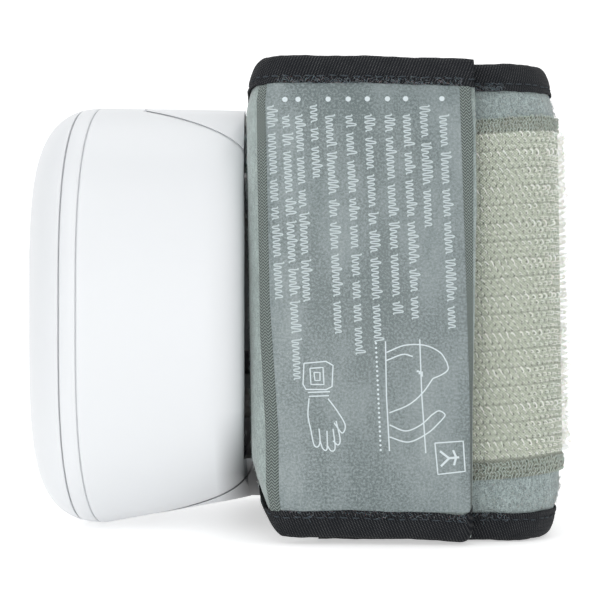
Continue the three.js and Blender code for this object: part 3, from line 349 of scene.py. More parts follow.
def pile(name, color, contrast, fibre=0.35):
    """Brushed loop cloth: short fibres lying in all directions, with clumps and a pale sheen."""
    color = linear(*color)
    shader = Shader(name, color, 0.95, **{"Sheen Weight": 0.35, "Sheen Roughness": 0.4})
    where = shader.place(uv=True)
    bent = shader.noise(where, 0.9, 2.0)
    moved = shader.vector("ADD", shader.vector("MULTIPLY", where, (1.0, 0.45, 1.0)), bent)
    hairs = shader.noise(moved, 1 / fibre, 5.0, 0.72)
    specks = shader.noise(where, 4.6, 3.0, 0.7)
    clumps = shader.noise(where, 0.22, 3.0)
    tone = shader.plus(shader.times(hairs, 0.5), shader.times(specks, 0.5))
    base = shader.ramp(tone, [(0.42, dark(color, 1 - contrast)), (0.58, dark(color, 1 + contrast))])
    shade = shader.spread(clumps, 0.3, 0.7, 0.9, 1.07)
    return shader.wear(tone, 0.22, 0.8, Base_Color=shader.vector("MULTIPLY", base, shade))


def ribbon(name, color, pitch, rib, painted_highlight):
    """Woven edge tape: slanting ribs with a painted highlight dotted over their knots, on runs and heights in
    millimetres.
    """
    color = linear(*color)
    shader = Shader(name, color, 0.85, **{"Sheen Weight": 0.03, "Specular IOR Level": 0.15})
    where = shader.place(uv=True)
    run, rise = shader.parts(where, "X", "Y")
    ribs = shader.wave(shader.plus(run, shader.times(rise, 0.75)), pitch)
    cross = shader.wave(shader.math("SUBTRACT", rise, shader.times(run, 0.12)), rib)
    knots = shader.spread(shader.times(ribs, cross), 0.25, 0.9, 0, 1)
    painted_highlight_patches = shader.noise(where, 0.35, 3.0)
    lint = shader.spread(shader.noise(where, 5.0, 4.0, 0.7), 0.6, 0.78, 0, 1)
    # painted highlight: the base colour is lightened on the knots of the weave, more in some patches than
    # others
    lit = shader.mix(shader.times(knots, painted_highlight_patches), color, [painted_highlight + part for part in color])
    base = shader.mix(shader.times(lint, 0.3), lit, (0.16, 0.17, 0.18))
    return shader.wear(shader.plus(ribs, shader.times(cross, 0.7)), 0.05, 0.9, Base_Color=base)


def herringbone(name, first, second, pitch, column):
    """Woven tape whose slanting ribs change direction from column to column."""
    first, second = linear(*first), linear(*second)
    shader = Shader(name, first, 0.85, **{"Sheen Weight": 0.15})
    where = shader.place(uv=True)
    run, rise = shader.parts(where, "X", "Y")
    slant = shader.plus(rise, shader.math("PINGPONG", run, column / 2))
    ribs = shader.spread(shader.wave(slant, pitch), -0.7, 0.9, 0, 1)
    grain = shader.noise(where, 3.4, 3.0, 0.7)
    height = shader.times(ribs, shader.spread(grain, 0.3, 0.7, 0.6, 1))
    return shader.wear(height, 0.07, 0.9, Base_Color=shader.mix(height, first, second))


def nylon(name, color, roughness=0.38, low=0.84):
    """Slightly milky fibre plastic of hooks, yarn and loose hairs."""
    color = linear(*color)
    shader = Shader(name, color, roughness, **{
        "Subsurface Weight": 0.15, "Subsurface Scale": 0.0004, "IOR": 1.5})
    where = shader.place()
    patch, fine = shader.noise(where, 300), shader.noise(where, 3200)
    return shader.wear(fine, 0.01, 0.4, Base_Color=shader.mix(patch, dark(color, low), color))


def board_look():
    shader = Shader("board", linear(28, 86, 56), 0.4, **{"Coat Weight": 0.3})
    where = shader.place()
    weave, tracks = shader.noise(where, 2600), shader.noise(where, 420, 1.0)
    paths = shader.spread(tracks, 0.5, 0.53, 0, 1)
    color = shader.mix(paths, linear(24, 78, 50), linear(44, 110, 72))
    return shader.wear(weave, 0.01, 0.5, Base_Color=color)


def lcd_look():
    shader = Shader("lcd_glass", linear(150, 160, 150), 0.2, **{"Coat Weight": 0.5})
    where = shader.place()
    cloud, fine = shader.noise(where, 90), shader.noise(where, 4000)
    color = shader.mix(cloud, linear(142, 152, 142), linear(158, 168, 157))
    return shader.wear(fine, 0.001, 0.4, Base_Color=color)


def film_look():
    """Cloudy vinyl over brushed cloth: patches where it touches the cloth, fibres showing through."""
    shader = Shader("label_film", linear(140, 150, 150), 0.36, **{
        "Coat Weight": 0.25, "Coat Roughness": 0.3, "Specular IOR Level": 0.45})
    where = shader.place(uv=True)
    long = shader.vector("MULTIPLY", where, (1.0, 0.42, 1.0))
    cloud, fibres = shader.noise(long, 0.085, 4.0, 0.62), shader.noise(where, 2.8, 5.0, 0.75)
    depth, rise = shader.parts(where, "X", "Y")
    left = shader.spread(depth, 38, 52, 0.12, 0.0)
    foot = shader.spread(rise, 16, 7, 0.0, 0.1)
    level = shader.plus(shader.plus(shader.spread(cloud, 0.36, 0.66, 0, 0.62), left), foot)
    touch = shader.times(shader.spread(cloud, 0.35, 0.6, 1, 0.35), shader.spread(fibres, 0.4, 0.6, -0.6, 0.6))
    color = shader.ramp(shader.plus(level, touch), [
        (0.0, linear(91, 103, 103)), (1.0, linear(152, 161, 161)), (0.5, linear(123, 134, 135))])
    return shader.wear(shader.plus(fibres, shader.times(cloud, 6.0)), 0.035, 0.5, Base_Color=color)


def backing_look():
    """Ribbed weave under the hooks, with a painted shadow at the foot of each hook, painted shade along the
    grooves between bands and darker selvages.
    """
    shader = Shader("hook_backing", linear(176, 182, 166), 0.8)
    where = shader.place(uv=True)
    run, rise = shader.parts(where, "X", "Y")
    height = shader.times(shader.wave(run, 0.5), shader.wave(rise, 0.42))
    tone = shader.plus(shader.times(height, 0.2), shader.noise(where, 2.0, 4.0, 0.7))
    color = shader.ramp(tone, [(0.25, linear(158, 167, 149)), (0.8, linear(236, 241, 226))])
    # painted shade along the grooves between the bands of hooks
    groove = shader.math("PINGPONG", shader.math("SUBTRACT", rise, HOOK_LOW), BAND_PITCH / 2)
    selvage = shader.times(shader.spread(rise, HOOK_LOW - 0.2, HOOK_LOW + 0.1, 0.5, 1),
                           shader.spread(rise, HOOK_HIGH - 0.1, HOOK_HIGH + 0.2, 1, 0.5))
    # painted shadow at the foot of each hook, in its columns and rows
    columns = shader.wave(shader.math("SUBTRACT", run, SIDE_START + 0.25), COLUMN_PITCH, "COSINE")
    rows = shader.wave(shader.math("SUBTRACT", rise, HOOK_LOW + 0.28), BAND_PITCH / 1.5, "COSINE")
    feet = shader.spread(shader.times(columns, rows), 0.45, 0.85, 1.0, 0.45)
    shade = shader.times(shader.times(shader.spread(groove, 0.05, 0.2, 0.8, 1.0), selvage), feet)
    return shader.wear(height, 0.12, 0.9, Base_Color=shader.vector("MULTIPLY", color, shade))


# Case

def outside_half(depth):
    """Half width of the outside at a depth, and how far it reaches up and down from its middle."""
    left = 1 - clamp(depth / FRONT_ROUND)
    wide, long = ((1 - left ** power) ** (1 / power) for power in (2.0, 2.45))
    run = clamp((depth - FRONT_ROUND) / (DEPTH - FRONT_ROUND))
    turn = clamp((depth - DEPTH + BACK_ROUND) / BACK_ROUND)
    back = BACK_IN * (1 - np.sqrt(1 - turn ** 2))
    reach = LENGTH / 2 * (FLAT_LENGTH + (1 - FLAT_LENGTH) * long)
    return np.array([
        WIDTH / 2 * (FLAT_WIDTH + (1 - FLAT_WIDTH) * wide) - SIDE_TAPER * run ** 1.2 - back,
        reach - HIGH_TAPER * run,
        reach - LOW_TAPER * run,
    ])


def case_ring(depth, inset, share=1.0):
    sizes = np.array([outside_half(depth + step) for step in (-inset, 0, inset)]).min(0) - inset
    angle = np.arange(CASE_SIDES) * TAU / CASE_SIDES
    cosine, sine = np.cos(angle), np.sin(angle)
    square = lerp(FRONT_SQUARE, SQUARE, smoothstep(depth, 0, FRONT_ROUND))
    half = np.where(sine > 0, sizes[1], sizes[2])
    reach = share * (np.abs(cosine / sizes[0]) ** square + np.abs(sine / half) ** square) ** (-1 / square)
    y, z = reach * cosine, reach * sine
    sweep = END_SWEEP * np.abs(z / (LENGTH / 2)) ** 4 * smoothstep(DEPTH + 6 - depth, 0, 6)
    return np.stack([depth + sweep, y, z + RISE], -1)


def rim_depths(low, high):
    """Depths over the domed rim, close together where it turns."""
    depths = FRONT_ROUND * (1 - np.cos(np.linspace(0, TAU / 4, 26)[1:]))
    return [d for d in depths if low < d < high]


def back_depths(low, high):
    straight = np.linspace(FRONT_ROUND, DEPTH - BACK_ROUND, 14)
    turned = DEPTH - BACK_ROUND + BACK_ROUND * np.sin(np.linspace(0, TAU / 4, 14)[1:])
    return [d for d in [*straight, *turned] if low + 0.2 < d < high - 0.2]


def case_body(name, profile, closed):
    """A shell swept round the case: profile gives depth, inset and share of each ring."""
    rings = np.array([case_ring(*step) for step in profile])
    size = rings.shape[:2]
    faces = grid_faces(*size, close=True) if closed else tube_faces(*size)
    return new_object(name, make_mesh(name, rings, faces))


def round_edge(depth, toward):
    """Profile steps of a small rounding where the outside ends at a seam."""
    turns = np.linspace(0, TAU / 4, 4)
    return [(depth - toward * EDGE_ROUND * (1 - math.sin(t)), EDGE_ROUND * (1 - math.cos(t))) for t in turns]


def front_profile():
    edge = BAND_FRONT - VISIBLE_SEAM / 2
    outer = [(0.0, 0.0, share) for share in CAP_SHARES]
    outer += [(d, 0.0) for d in rim_depths(0.02, edge - 0.3)] + round_edge(edge, 1)
    step = edge - FRONT_TONGUE
    inner = [(edge, GROOVE), (step, GROOVE), (step, WALL)]
    inner += [(d, WALL) for d in np.linspace(step - 0.5, WALL, 7)]
    inner += [(WALL, WALL, share) for share in CAP_SHARES[::-1][1:]]
    return outer + inner


def wall_profile(low, high):
    depths = back_depths(low, high)
    outer = [(low, WALL), *round_edge(low, -1)[::-1], *((d, 0.0) for d in depths), (high, 0.0)]
    return outer + [(high, WALL), *((d, WALL) for d in depths[::-1])]


def saddle_profile():
    """A full block of the case, for the saddle behind the cuff's hollow."""
    low, high, inset = LIP_START, DEPTH, SADDLE_WALL
    body = [(low, inset), *((d, inset) for d in back_depths(low, high)), (high, inset)]
    return [(low, inset, 0.02), *body, (high, inset, 0.02)]


def lip_profile(inset):
    """The wall of the case over the curved seams, drawn out past its back to the cuff."""
    depths = [LIP_START, *back_depths(LIP_START, DEPTH), DEPTH, DEPTH + SADDLE]
    return [*((d, inset) for d in depths), *((d, LIP_WALL) for d in depths[::-1])]


def band_profile():
    low, high = BAND_FRONT + VISIBLE_SEAM / 2, BAND_BACK - VISIBLE_SEAM / 2
    outer = round_edge(low, -1)[::-1] + [((low + high) / 2, 0)] + round_edge(high, 1)
    tongue, wall, rib, reach = GROOVE + 0.06, BAND_WALL, BAND_RIB, BAND_TONGUE
    return outer + [(high, tongue), (high + reach, tongue), (high + reach, wall), (high, wall), (high, rib),
                    (low, rib), (low, wall), (low - reach, wall), (low - reach, tongue), (low, tongue)]


def lip_outline(end, gap):
    """The curved seam at one end of the case, seen from the side, as depth and height."""
    foot, back = LIP_FOOT - gap, DEPTH + END_SWEEP
    start, bend, stop = np.array([(back - gap, foot), *((x - gap, z - gap) for x, z in (LIP_BEND, LIP_TOP))])
    share = np.linspace(0, 1, 40)[:, None]
    seam = (1 - share) ** 2 * start + 2 * share * (1 - share) * bend + share ** 2 * stop
    points = [(back + 3, foot), *seam.tolist(), (LIP_TOP[0] - gap, LENGTH), (back + 3, LENGTH)]
    return [(x, end * z + RISE) for x, z in points]


def door_block(gap, latch):
    outline = rounded_rectangle(DOOR_HIGH - DOOR_LOW + 2 * gap, 2 * DOOR_HALF + gap + latch, 1.6,
                                (DOOR_LOW + DOOR_HIGH) / 2, RISE + (gap - latch) / 2)
    return prism(outline, 1, 0, WIDTH)


def window_outline(grow, radius=3.0):
    return rounded_rectangle(WINDOW_WIDTH + 2 * grow, WINDOW_HEIGHT + 2 * grow, radius, 0, WINDOW_ROW)


def key_outline(name, grow):
    length, side = KEYS[name]
    return rounded_rectangle(length + 2 * grow, KEY_HEIGHT + 2 * grow, 3.99 + grow, side, KEY_ROW)


def cuff_block(out):
    """A block over the cuff's path, grown outward, through the whole height of the case."""
    return prism(on_path(np.linspace(0, RUN_END, 420), out, MIDDLE)[:, :2], 2, -LENGTH, 2 * LENGTH)


def finish_case(thing, node, body="monitor"):
    finish_mesh(thing.data)
    dress(thing, "case", body, [node])


def build_case():
    front = case_body("case_front", front_profile(), False)
    boolean(front, prism(window_outline(-1.8, 2.0), 0, -3, 5))
    boolean(front, prism(window_outline(0.15), 0, -3, WINDOW_LEDGE))
    for name in KEYS:
        boolean(front, prism(key_outline(name, 0.3), 0, -3, 5))
    finish_case(front, "front_cover")

    finish_case(case_body("case_trim_band", band_profile(), True), "trim_band")

    rear = case_body("case_rear", wall_profile(BAND_BACK + VISIBLE_SEAM / 2, DEPTH), True)
    boolean(rear, cuff_block(SEAT_GAP))
    for end in (-1, 1):
        boolean(rear, prism(lip_outline(end, SEAM), 1, -WIDTH, WIDTH))
    boolean(rear, door_block(SEAM, 0.6))
    finish_case(rear, "rear_shell")

    saddle = case_body("case_bottom", saddle_profile(), False)
    boolean(saddle, cuff_block(SEAT_GAP + SADDLE_REACH), "INTERSECT")
    for inset, gap in ((0, 0), (0.22, 1.2)):
        lips = case_body("lips", lip_profile(inset), True)
        low, high = (prism(lip_outline(end, gap), 1, -WIDTH, WIDTH) for end in (-1, 1))
        boolean(low, high, "UNION")
        boolean(lips, low, "INTERSECT")
        boolean(saddle, lips, "UNION")
    boolean(saddle, cuff_block(SEAT_GAP))
    finish_case(saddle, "bottom_cover")

    panel = case_body("case_door", wall_profile(BAND_BACK, DEPTH), True)
    boolean(panel, door_block(0, 0), "INTERSECT")
    finish_case(panel, "battery_door", "battery_door")


def cushion_plate(name, outline, low, high, crown, look, body, node):
    """A moulded plate over an outline, with a rounded and slightly crowned front."""
    outline = np.array(outline)
    centre = outline.mean(0)
    steps = [(high, 1.0), (low + 0.7, 1.0)]
    steps += [(low + 0.7 * (1 - math.sin(t)), 1 - 0.06 * (1 - math.cos(t)))
              for t in np.linspace(0.3, TAU / 4, 5)]
    steps += [(low - crown * (1 - share ** 2), 0.94 * share) for share in (0.85, 0.6, 0.3, 0.02)]
    rings = [np.insert(centre + (outline - centre) * share, 0, depth, axis=1) for depth, share in steps]
    piece(name, rings, tube_faces(len(rings), len(outline)), look, body, [node])


def build_front():
    cushion_plate("clear_window", window_outline(-0.15), 0.12, 1.4, 0.0, "window", "monitor",
                  "display_window")
    for name, (_, side) in KEYS.items():
        body = f"{name}_button"
        cushion_plate(f"{name}_key", key_outline(name, 0), 0.0, 3.4, 0.1, "button", body, body)
        left, right = side - MARK_REACH, side + MARK_REACH
        strokes = [[(left, KEY_ROW + rise), (right, KEY_ROW + rise)] for rise in (-0.8, 0, 0.8)]
        if name == "start":
            strokes = [[(side + MARK_REACH * math.cos(a), KEY_ROW + MARK_REACH * math.sin(a))
                        for a in np.linspace(0.5, TAU - 0.5, 40)], [(side, KEY_ROW), (side + 1.9, KEY_ROW)]]
        points, faces = ribbons(strokes, 0.34)
        piece(f"{name}_mark", np.insert(points, 0, -0.13, axis=1), faces, "print", body)
    rings = [np.insert(rounded_rectangle(*size, 0, WINDOW_ROW), 0, MASK_DEPTH, axis=1)
             for size in ((33.5, 22.5, 2.9), (28.6, 18, 0.8))]
    piece("window_mask", rings, grid_faces(2, len(rings[0])), "mask")


# Path of the cuff

def near_at(depth, out=0.0):
    return -(NEAR_LEFT + NEAR_SLOPE * (depth - LOOP_LEFT)) - out


def rounded_path(corners):
    """Points of a path with rounded corners, and the run at which each corner starts and ends."""
    spots = [np.array(corner[:2], float) for corner in corners]
    points, marks, previous = [spots[0]], [0.0], spots[0]
    for index in range(1, len(corners) - 1):
        radius = corners[index][2]
        before, after = ((spots[other] - spots[index]) / np.linalg.norm(spots[other] - spots[index])
                         for other in (index - 1, index + 1))
        half = math.acos(float(before @ after)) / 2
        start, end = (spots[index] + way * radius / math.tan(half) for way in (before, after))
        middle = (before + after) / np.linalg.norm(before + after)
        centre = spots[index] + middle * radius / math.sin(half)
        first = math.atan2(*(start - centre)[::-1])
        turn = -(math.pi - 2 * half)
        marks.append(marks[-1] + np.linalg.norm(start - previous))
        marks.append(marks[-1] + abs(turn) * radius)
        for angle in first + turn * np.linspace(0, 1, 60):
            points.append(centre + radius * np.array([math.cos(angle), math.sin(angle)]))
        previous = end
    points.append(spots[-1])
    marks.append(marks[-1] + np.linalg.norm(spots[-1] - previous))
    return np.array(points), marks


path_points, marks = rounded_path([
    (FLAP_END, near_at(FLAP_END, FLAP_OUT)),
    (LOOP_LEFT, near_at(LOOP_LEFT, FLAP_OUT), FOLD_RADIUS),
    (LOOP_LEFT - 0.8, 0, 60),
    (LOOP_LEFT, FAR, 9),
    (LOOP_RIGHT, FAR, 16),
    (LOOP_RIGHT, near_at(LOOP_RIGHT), 9),
    (TAIL_END, near_at(TAIL_END)),
])
_, CORNER_START, WALL_START, _, BULGE_END, WALL_END, _, _, RIGHT_START, RIGHT_END, NEAR_START, RUN_END = marks
FOLD_RUN = lerp(CORNER_START, WALL_START, 0.5)
SIDE_START = RIGHT_START + FAR - TAPE_FRONT
path_steps = np.linalg.norm(np.diff(path_points, axis=0), axis=1)
path_points = path_points[np.insert(path_steps > 1e-6, 0, True)]
path_runs = np.insert(np.cumsum(np.linalg.norm(np.diff(path_points, axis=0), axis=1)), 0, 0.0)
path_tangents = np.gradient(path_points, path_runs, axis=0)
path_runs *= RUN_END / path_runs[-1]


def pinch(run, out, z):
    """How far the padded cuff draws in towards its two edges."""
    edge = np.minimum(z - edge_low(run), edge_high(run) - z)
    padded = smoothstep(run, FOLD_RUN, WALL_START)
    return PINCH * clamp(1 - edge / PINCH_REACH) ** 1.15 * lerp(1, smoothstep(out, -CUFF_THICK, -1.5), padded)


def on_path(run, out, z):
    """Points of the cuff at runs along its path, outward offsets and heights."""
    run, out, z = np.broadcast_arrays(*(np.asarray(part, float) for part in (run, out, z)))
    x, y = (np.interp(run, path_runs, path_points[:, axis]) for axis in (0, 1))
    tx, ty = (np.interp(run, path_runs, path_tangents[:, axis]) for axis in (0, 1))
    size = np.hypot(tx, ty)
    out = out - pinch(run, out, z)
    x, y = x - ty / size * out, y + tx / size * out
    x = x - np.interp(z, SIDE_HEIGHTS, SIDE_PULL) * smoothstep(x, FLAP_END + 1, LOOP_RIGHT)
    return np.stack([x - LEAN * (z - MIDDLE) * smoothstep(-y, -5, 20), y, z], -1)


def under_case(run, start):
    """How fully the cuff's edge is drawn in behind the case, from a run on."""
    drawn_in = smoothstep(run, start, start + EDGE_RUN)
    return np.minimum(drawn_in, 1 - smoothstep(run, WALL_END, WALL_END + EDGE_BACK))


def flap_lift(run):
    hang = 0.7 * (1 - clamp(run / FOLD_RUN)) ** 2
    return 0.9 * (1 - smoothstep(run, FOLD_RUN, WALL_START)) - hang


def edge_low(run):
    return CUFF_LOW + flap_lift(run) + EDGE_CLIMB * under_case(run, CORNER_START + 2.5)


def edge_high(run):
    return CUFF_LOW + CUFF_WIDTH + flap_lift(run) - EDGE_DROP * under_case(run, WALL_START)


def binding_height(run, side):
    """The lower edge tape keeps a level rim where the cuff's edge climbs under the case."""
    if side < 0:
        return np.full_like(run, BINDING)
    level = clamp(RIM_LEVEL - edge_low(run), 0.5, BINDING)
    return lerp(level, BINDING, smoothstep(run, WALL_START, BULGE_END))


def inner_face(run):
    return -lerp(FLAP_THICK, CUFF_THICK, smoothstep(run, FOLD_RUN, WALL_START))


def near_run(depth):
    """The run at which the tail passes a depth on the near side."""
    late = path_runs > RIGHT_END - 1
    return float(np.interp(-depth, -path_points[late, 0], path_runs[late]))


def pucker(run, z, size, seed):
    """Small uneven swelling of cloth, as an offset."""
    waves = [(0.55, 0.13, 1.0), (1.35, 0.31, 0.5), (2.9, 0.11, 0.3), (0.21, 0.52, 0.8)]
    total = sum(part * np.sin(a * run + b * z + seed * (index + 1) * 1.7)
                for index, (a, b, part) in enumerate(waves))
    return size * total / 2.6


def swept(name, runs, outs, heights, across, look, body, node, placed=None, sharp=38):
    """A piece swept along the cuff path: outs and heights hold one row of section points per run."""
    points = on_path(runs[:, None] if placed is None else placed, outs, heights)
    uv = np.stack(np.broadcast_arrays(runs[:, None], across), -1)
    return piece(name, points, tube_faces(*outs.shape), look, body, [node], uv, sharp)


def cloth_layer(name, low_run, high_run, inner, outer, inset, look, body, node, step, across, rough=0.0,
                seed=0.0, shear=None):
    """A soft layer between two offsets, with round rims and small wrinkles."""
    runs = np.linspace(low_run, high_run, max(4, int((high_run - low_run) / step)))
    ends = np.array([0, 0.05, 0.18])
    runs = np.concatenate([low_run + ends, runs[1:-1], high_run - ends[::-1]])
    inner_at, outer_at = (value(runs) if callable(value) else np.full_like(runs, value)
                          for value in (inner, outer))
    middle, half = (inner_at + outer_at) / 2, (outer_at - inner_at) / 2
    short = clamp(1 - np.minimum(runs - low_run, high_run - runs) / np.minimum(half, 0.45))
    half = half * np.sqrt(np.maximum(0.02, 1 - short ** 2))
    bottom, top = edge_low(runs)[:, None] + inset, edge_high(runs)[:, None] - inset
    heights = lerp(bottom, top, np.linspace(0, 1, across)[None, :])
    edge = np.minimum(heights - bottom, top - heights)
    rim = np.sqrt(clamp(1 - (1 - clamp(edge / 0.5)) ** 2, 0.03, 1))
    wrinkle = pucker(runs[:, None], heights, rough, seed) * smoothstep(edge, 0.2, 2)
    front = middle[:, None] + half[:, None] * rim + wrinkle
    back = middle[:, None] - half[:, None] * rim
    outs = np.concatenate([front, back[:, ::-1]], 1)
    levels = np.concatenate([heights, heights[:, ::-1]], 1)
    placed = shear(runs[:, None], levels) if shear else None
    return swept(name, runs, outs, levels, levels, look, body, node, placed, 60)


def folded_section(runs, inner, edge, side, seed):
    """Section of an edge tape folded round the cuff's rim: outer leg, round fold and inner leg."""
    out_face = np.full(len(runs), FILM_GAP + BINDING_THICK)
    in_face = inner - FILM_GAP - BINDING_THICK
    radius = np.minimum(BINDING_FOLD, (out_face - in_face) / 2 - 0.02)
    legs = np.linspace(BINDING, BINDING_FOLD, 14)[:-1]
    turns = [(1 - np.cos(turn), 1 - np.sin(turn)) for turn in np.linspace(0, TAU / 4, 8)]
    section = [(out_face, leg + 0 * radius) for leg in legs]
    section += [(out_face - radius * out, radius * rise) for out, rise in turns]
    section += [(lerp(out_face - radius, in_face + radius, share), 0 * radius) for share in (0.25, 0.5, 0.75)]
    section += [(in_face + radius * out, radius * rise) for out, rise in turns[::-1]]
    section += [(in_face, leg + 0 * radius) for leg in legs[::-1]]
    outs, rises = (np.stack(part, 1) for part in zip(*section))
    middle = ((out_face + in_face) / 2)[:, None]
    span = out_face[:, None] - middle
    back_outs = middle + (outs - middle) * ((span - BINDING_THICK) / span)
    back_rises = np.where(rises < BINDING_FOLD,
                          BINDING_THICK + rises * (BINDING_FOLD - BINDING_THICK) / BINDING_FOLD, rises)
    away = BINDING - rises
    groove = 0.16 * np.exp(-((away - 0.95) / 0.3) ** 2)
    thread_pull = 0.05 * np.cos(TAU * runs[:, None] / 2.3) * np.exp(-((away - 0.95) / 0.8) ** 2)
    lip = 0.12 * np.exp(-(away / 0.25) ** 2)
    bulge = 0.16 * np.sin(clamp((rises - 0.2) / 3.2) * math.pi)
    lumps = pucker(runs[:, None], rises * 3, 0.09, seed)
    swelling = bulge + lumps * smoothstep(rises, 0.1, 1.2) - groove - thread_pull - lip
    outs = outs + np.sign(outs - middle) * swelling
    wander = pucker(runs, 0, 0.1, seed + 2)[:, None] * smoothstep(rises, 0, 4.4)
    across = np.concatenate([rises, rises[:, ::-1] + 11], 1)
    tall = (binding_height(runs, side) / BINDING)[:, None]
    climb = np.concatenate([rises + wander, (back_rises + wander)[:, ::-1]], 1)
    heights = edge[:, None] + side * tall * climb
    return np.concatenate([outs, back_outs[:, ::-1]], 1), heights, across


def build_binding(name, low_run, high_run, side, body, node, seed, trim_low=0.0):
    runs = np.linspace(low_run, high_run, int((high_run - low_run) / 0.45))
    edge = (edge_low(runs) if side > 0 else edge_high(runs)) + pucker(runs, 0, 0.14, seed + 5)
    if trim_low:
        near = clamp(1 - (runs - low_run) / trim_low)
        edge = edge + side * trim_low * (1 - np.sqrt(1 - near ** 2))
    section = folded_section(runs, inner_face(runs), edge, side, seed)
    return swept(name, runs, *section, "binding", body, node)


def stitches(name, low_run, high_run, side, body):
    """Sewing thread along a binding, as short uneven stitches on both faces."""
    points, faces = [], []
    share, angle = np.linspace(0, 1, 7), np.arange(6) * TAU / 6
    arch = np.sin(share * math.pi)
    for start in np.arange(low_run + 0.8, high_run - STITCH, STITCH):
        for face in (1, -1):
            run = start + random.uniform(-0.12, 0.12) + share * (STITCH - random.uniform(0.35, 0.7))
            if face > 0:
                level = FILM_GAP + BINDING_THICK - 0.12 + 0.13 * arch
            else:
                level = inner_face(run) - FILM_GAP - BINDING_THICK + 0.12 - 0.13 * arch
            slope = random.uniform(-0.16, 0.16) * (share - 0.5)
            rise = (BINDING - 1.1 + random.uniform(-0.09, 0.09) + slope) * binding_height(run, side) / BINDING
            base = (edge_low(run) if side > 0 else edge_high(run)) + side * rise
            size = THREAD * random.uniform(0.75, 1.15) * (0.35 + 0.65 * arch ** 0.4)
            outs = level[:, None] + size[:, None] * 0.6 * np.sin(angle)
            zs = base[:, None] + size[:, None] * np.cos(angle)
            faces += tube_faces(len(share), len(angle), len(points) * outs.size)
            points.append(on_path(run[:, None], outs, zs))
    return piece(name, np.array(points), faces, "thread", body, sharp=80)


# Flap, label and print

def flap_end(z):
    """The flap's free end leans: it reaches further at the top. Measured on the straight cuff."""
    return np.interp(z, [0, 6.6, 14.2, 24.8, 33.9, 46, 52, 58.2, 64.2, 69, 74],
                     [67.9, 68.1, 68.2, 68.45, 68.85, 69.2, 69.5, 69.87, 70.5, 70.9, 71.0])


def label_left(z):
    return np.interp(z, [5.7, 17, 36.9, 69], [39.25, 39.35, 38.3, 38.05])


def label_right(z):
    return np.interp(z, [5.7, 21.9, 36.9, 68.4], [67.75, 67.87, 67.65, 67.1])


def tape_left(z):
    return np.maximum(label_left(z) - TWILL, FLAP_END - FOLD_RUN + 0.1)


def tape_right(z):
    rim = np.interp(z, [7, 21.9, 36.9, 62.4, 68.4], [68.1, 68.37, 68.62, 69, 68.7])
    return np.minimum(rim, flap_end(z) - 0.1)


def film_out(depth, z):
    """How far the label's face lies off the cuff path: it is sewn at its rim and lies loosely."""
    edge = np.minimum(np.minimum(depth - label_left(z), label_right(z) - depth),
                      np.minimum(z - FILM_LOW, FILM_HIGH - z))
    waves = 0.16 * np.sin(0.23 * depth + 0.11 * z) + 0.12 * np.sin(0.14 * z - 0.3 * depth + 1.3)
    waves = waves + 0.08 * np.sin(0.5 * depth + 0.31 * z + 2.0)
    return FILM_GAP + 0.25 + smoothstep(edge, 0.3, 7) * (0.3 + waves)


def ribbons(lines, width):
    """Flat bands of a width along polylines, as points and quads in their own plane."""
    points, faces = [], []
    for line in lines:
        line = np.array(line, float)
        way = unit(np.gradient(line, axis=0))
        side = np.stack([-way[:, 1], way[:, 0]], 1) * width / 2
        first, count = sum(len(block) for block in points), len(line)
        points.append(np.concatenate([line + side, line - side]))
        faces += [(i, i + 1, count + i + 1, count + i) for i in range(first, first + count - 1)]
    return np.concatenate(points), faces


def curve(points, steps=10):
    """A smooth line through points."""
    points = np.array(points, float)
    padded = np.concatenate([[2 * points[0] - points[1]], points, [2 * points[-1] - points[-2]]])
    line = []
    for a, b, c, d in zip(padded, padded[1:], padded[2:], padded[3:]):
        for share in np.linspace(0, 1, steps, endpoint=False):
            line.append(0.5 * (2 * b + (c - a) * share + (2 * a - 5 * b + 4 * c - d) * share ** 2
                               + (3 * b - 3 * c + d - a) * share ** 3))
    return [*line, points[-1]]


def picture_point(x, y):
    """A place on the label from its place in the view, as depth along the flap and height."""
    z = MIDDLE + (VIEW_MIDDLE - y) / VIEW_SCALE
    depth = (x - VIEW_MIDDLE) / VIEW_SCALE + VIEW_DEPTH + LEAN * (z - MIDDLE)
    turned = LOOP_LEFT + FOLD_RADIUS - depth
    if turned > 0:
        depth = LOOP_LEFT + FOLD_RADIUS * (1 - math.asin(turned / FOLD_RADIUS))
    return depth, z


# Rows of print in places of the view: where each one lies, starts and ends
ROW_START, BULLET_DOWN, TEXT_DOWN, BULLET = 96, 4, 20, 0.4
LETTER_STEP, WORD_GAP, LETTER_HALF, ASCENDER = 2.4, 6, 2.6, 2.8
RULE_LEFT, RULE_TOP, RULE_END, RULE_STEP, RULE_TILT, RULE_DOT = 375.5, 343, 453, 4.6, 0.045, 0.17
PRINT_ROWS = [(440, 96, 308), (421, 107, 205), (404, 96, 300), (386, 96, 316), (366, 96, 330), (347, 96, 328),
              (327, 96, 322), (312, 106, 160), (297, 96, 300), (284, 96, 372), (270, 106, 300)]


def print_lines():
    """Rows of small wavy strokes in groups, where the label carries its instructions."""
    dots, strokes = [], []
    for x, y, end in PRINT_ROWS:
        if y == ROW_START:
            dots.append((*picture_point(x + 1, y + BULLET_DOWN), BULLET))
            y += TEXT_DOWN
        while y < end:
            steps = np.arange(int(random.integers(3, 10)) * 2)
            tall = np.where(steps % 2, -LETTER_HALF, LETTER_HALF) + random.uniform(-0.3, 0.3, len(steps))
            tall = tall + (steps % 2 == 0) * (random.random(len(steps)) < 0.22) * ASCENDER
            along = y + steps * LETTER_STEP + random.uniform(-0.35, 0.35, len(steps))
            places = zip(np.repeat(along, 2) + np.tile([-0.75, 0.75], len(steps)), np.repeat(tall, 2))
            places = [picture_point(x + 1 + (a - ROW_START) * PRINT_TILT + t, a) for a, t in places]
            strokes.append(curve(places, 4))
            y = along[-1] + WORD_GAP
    return dots, strokes


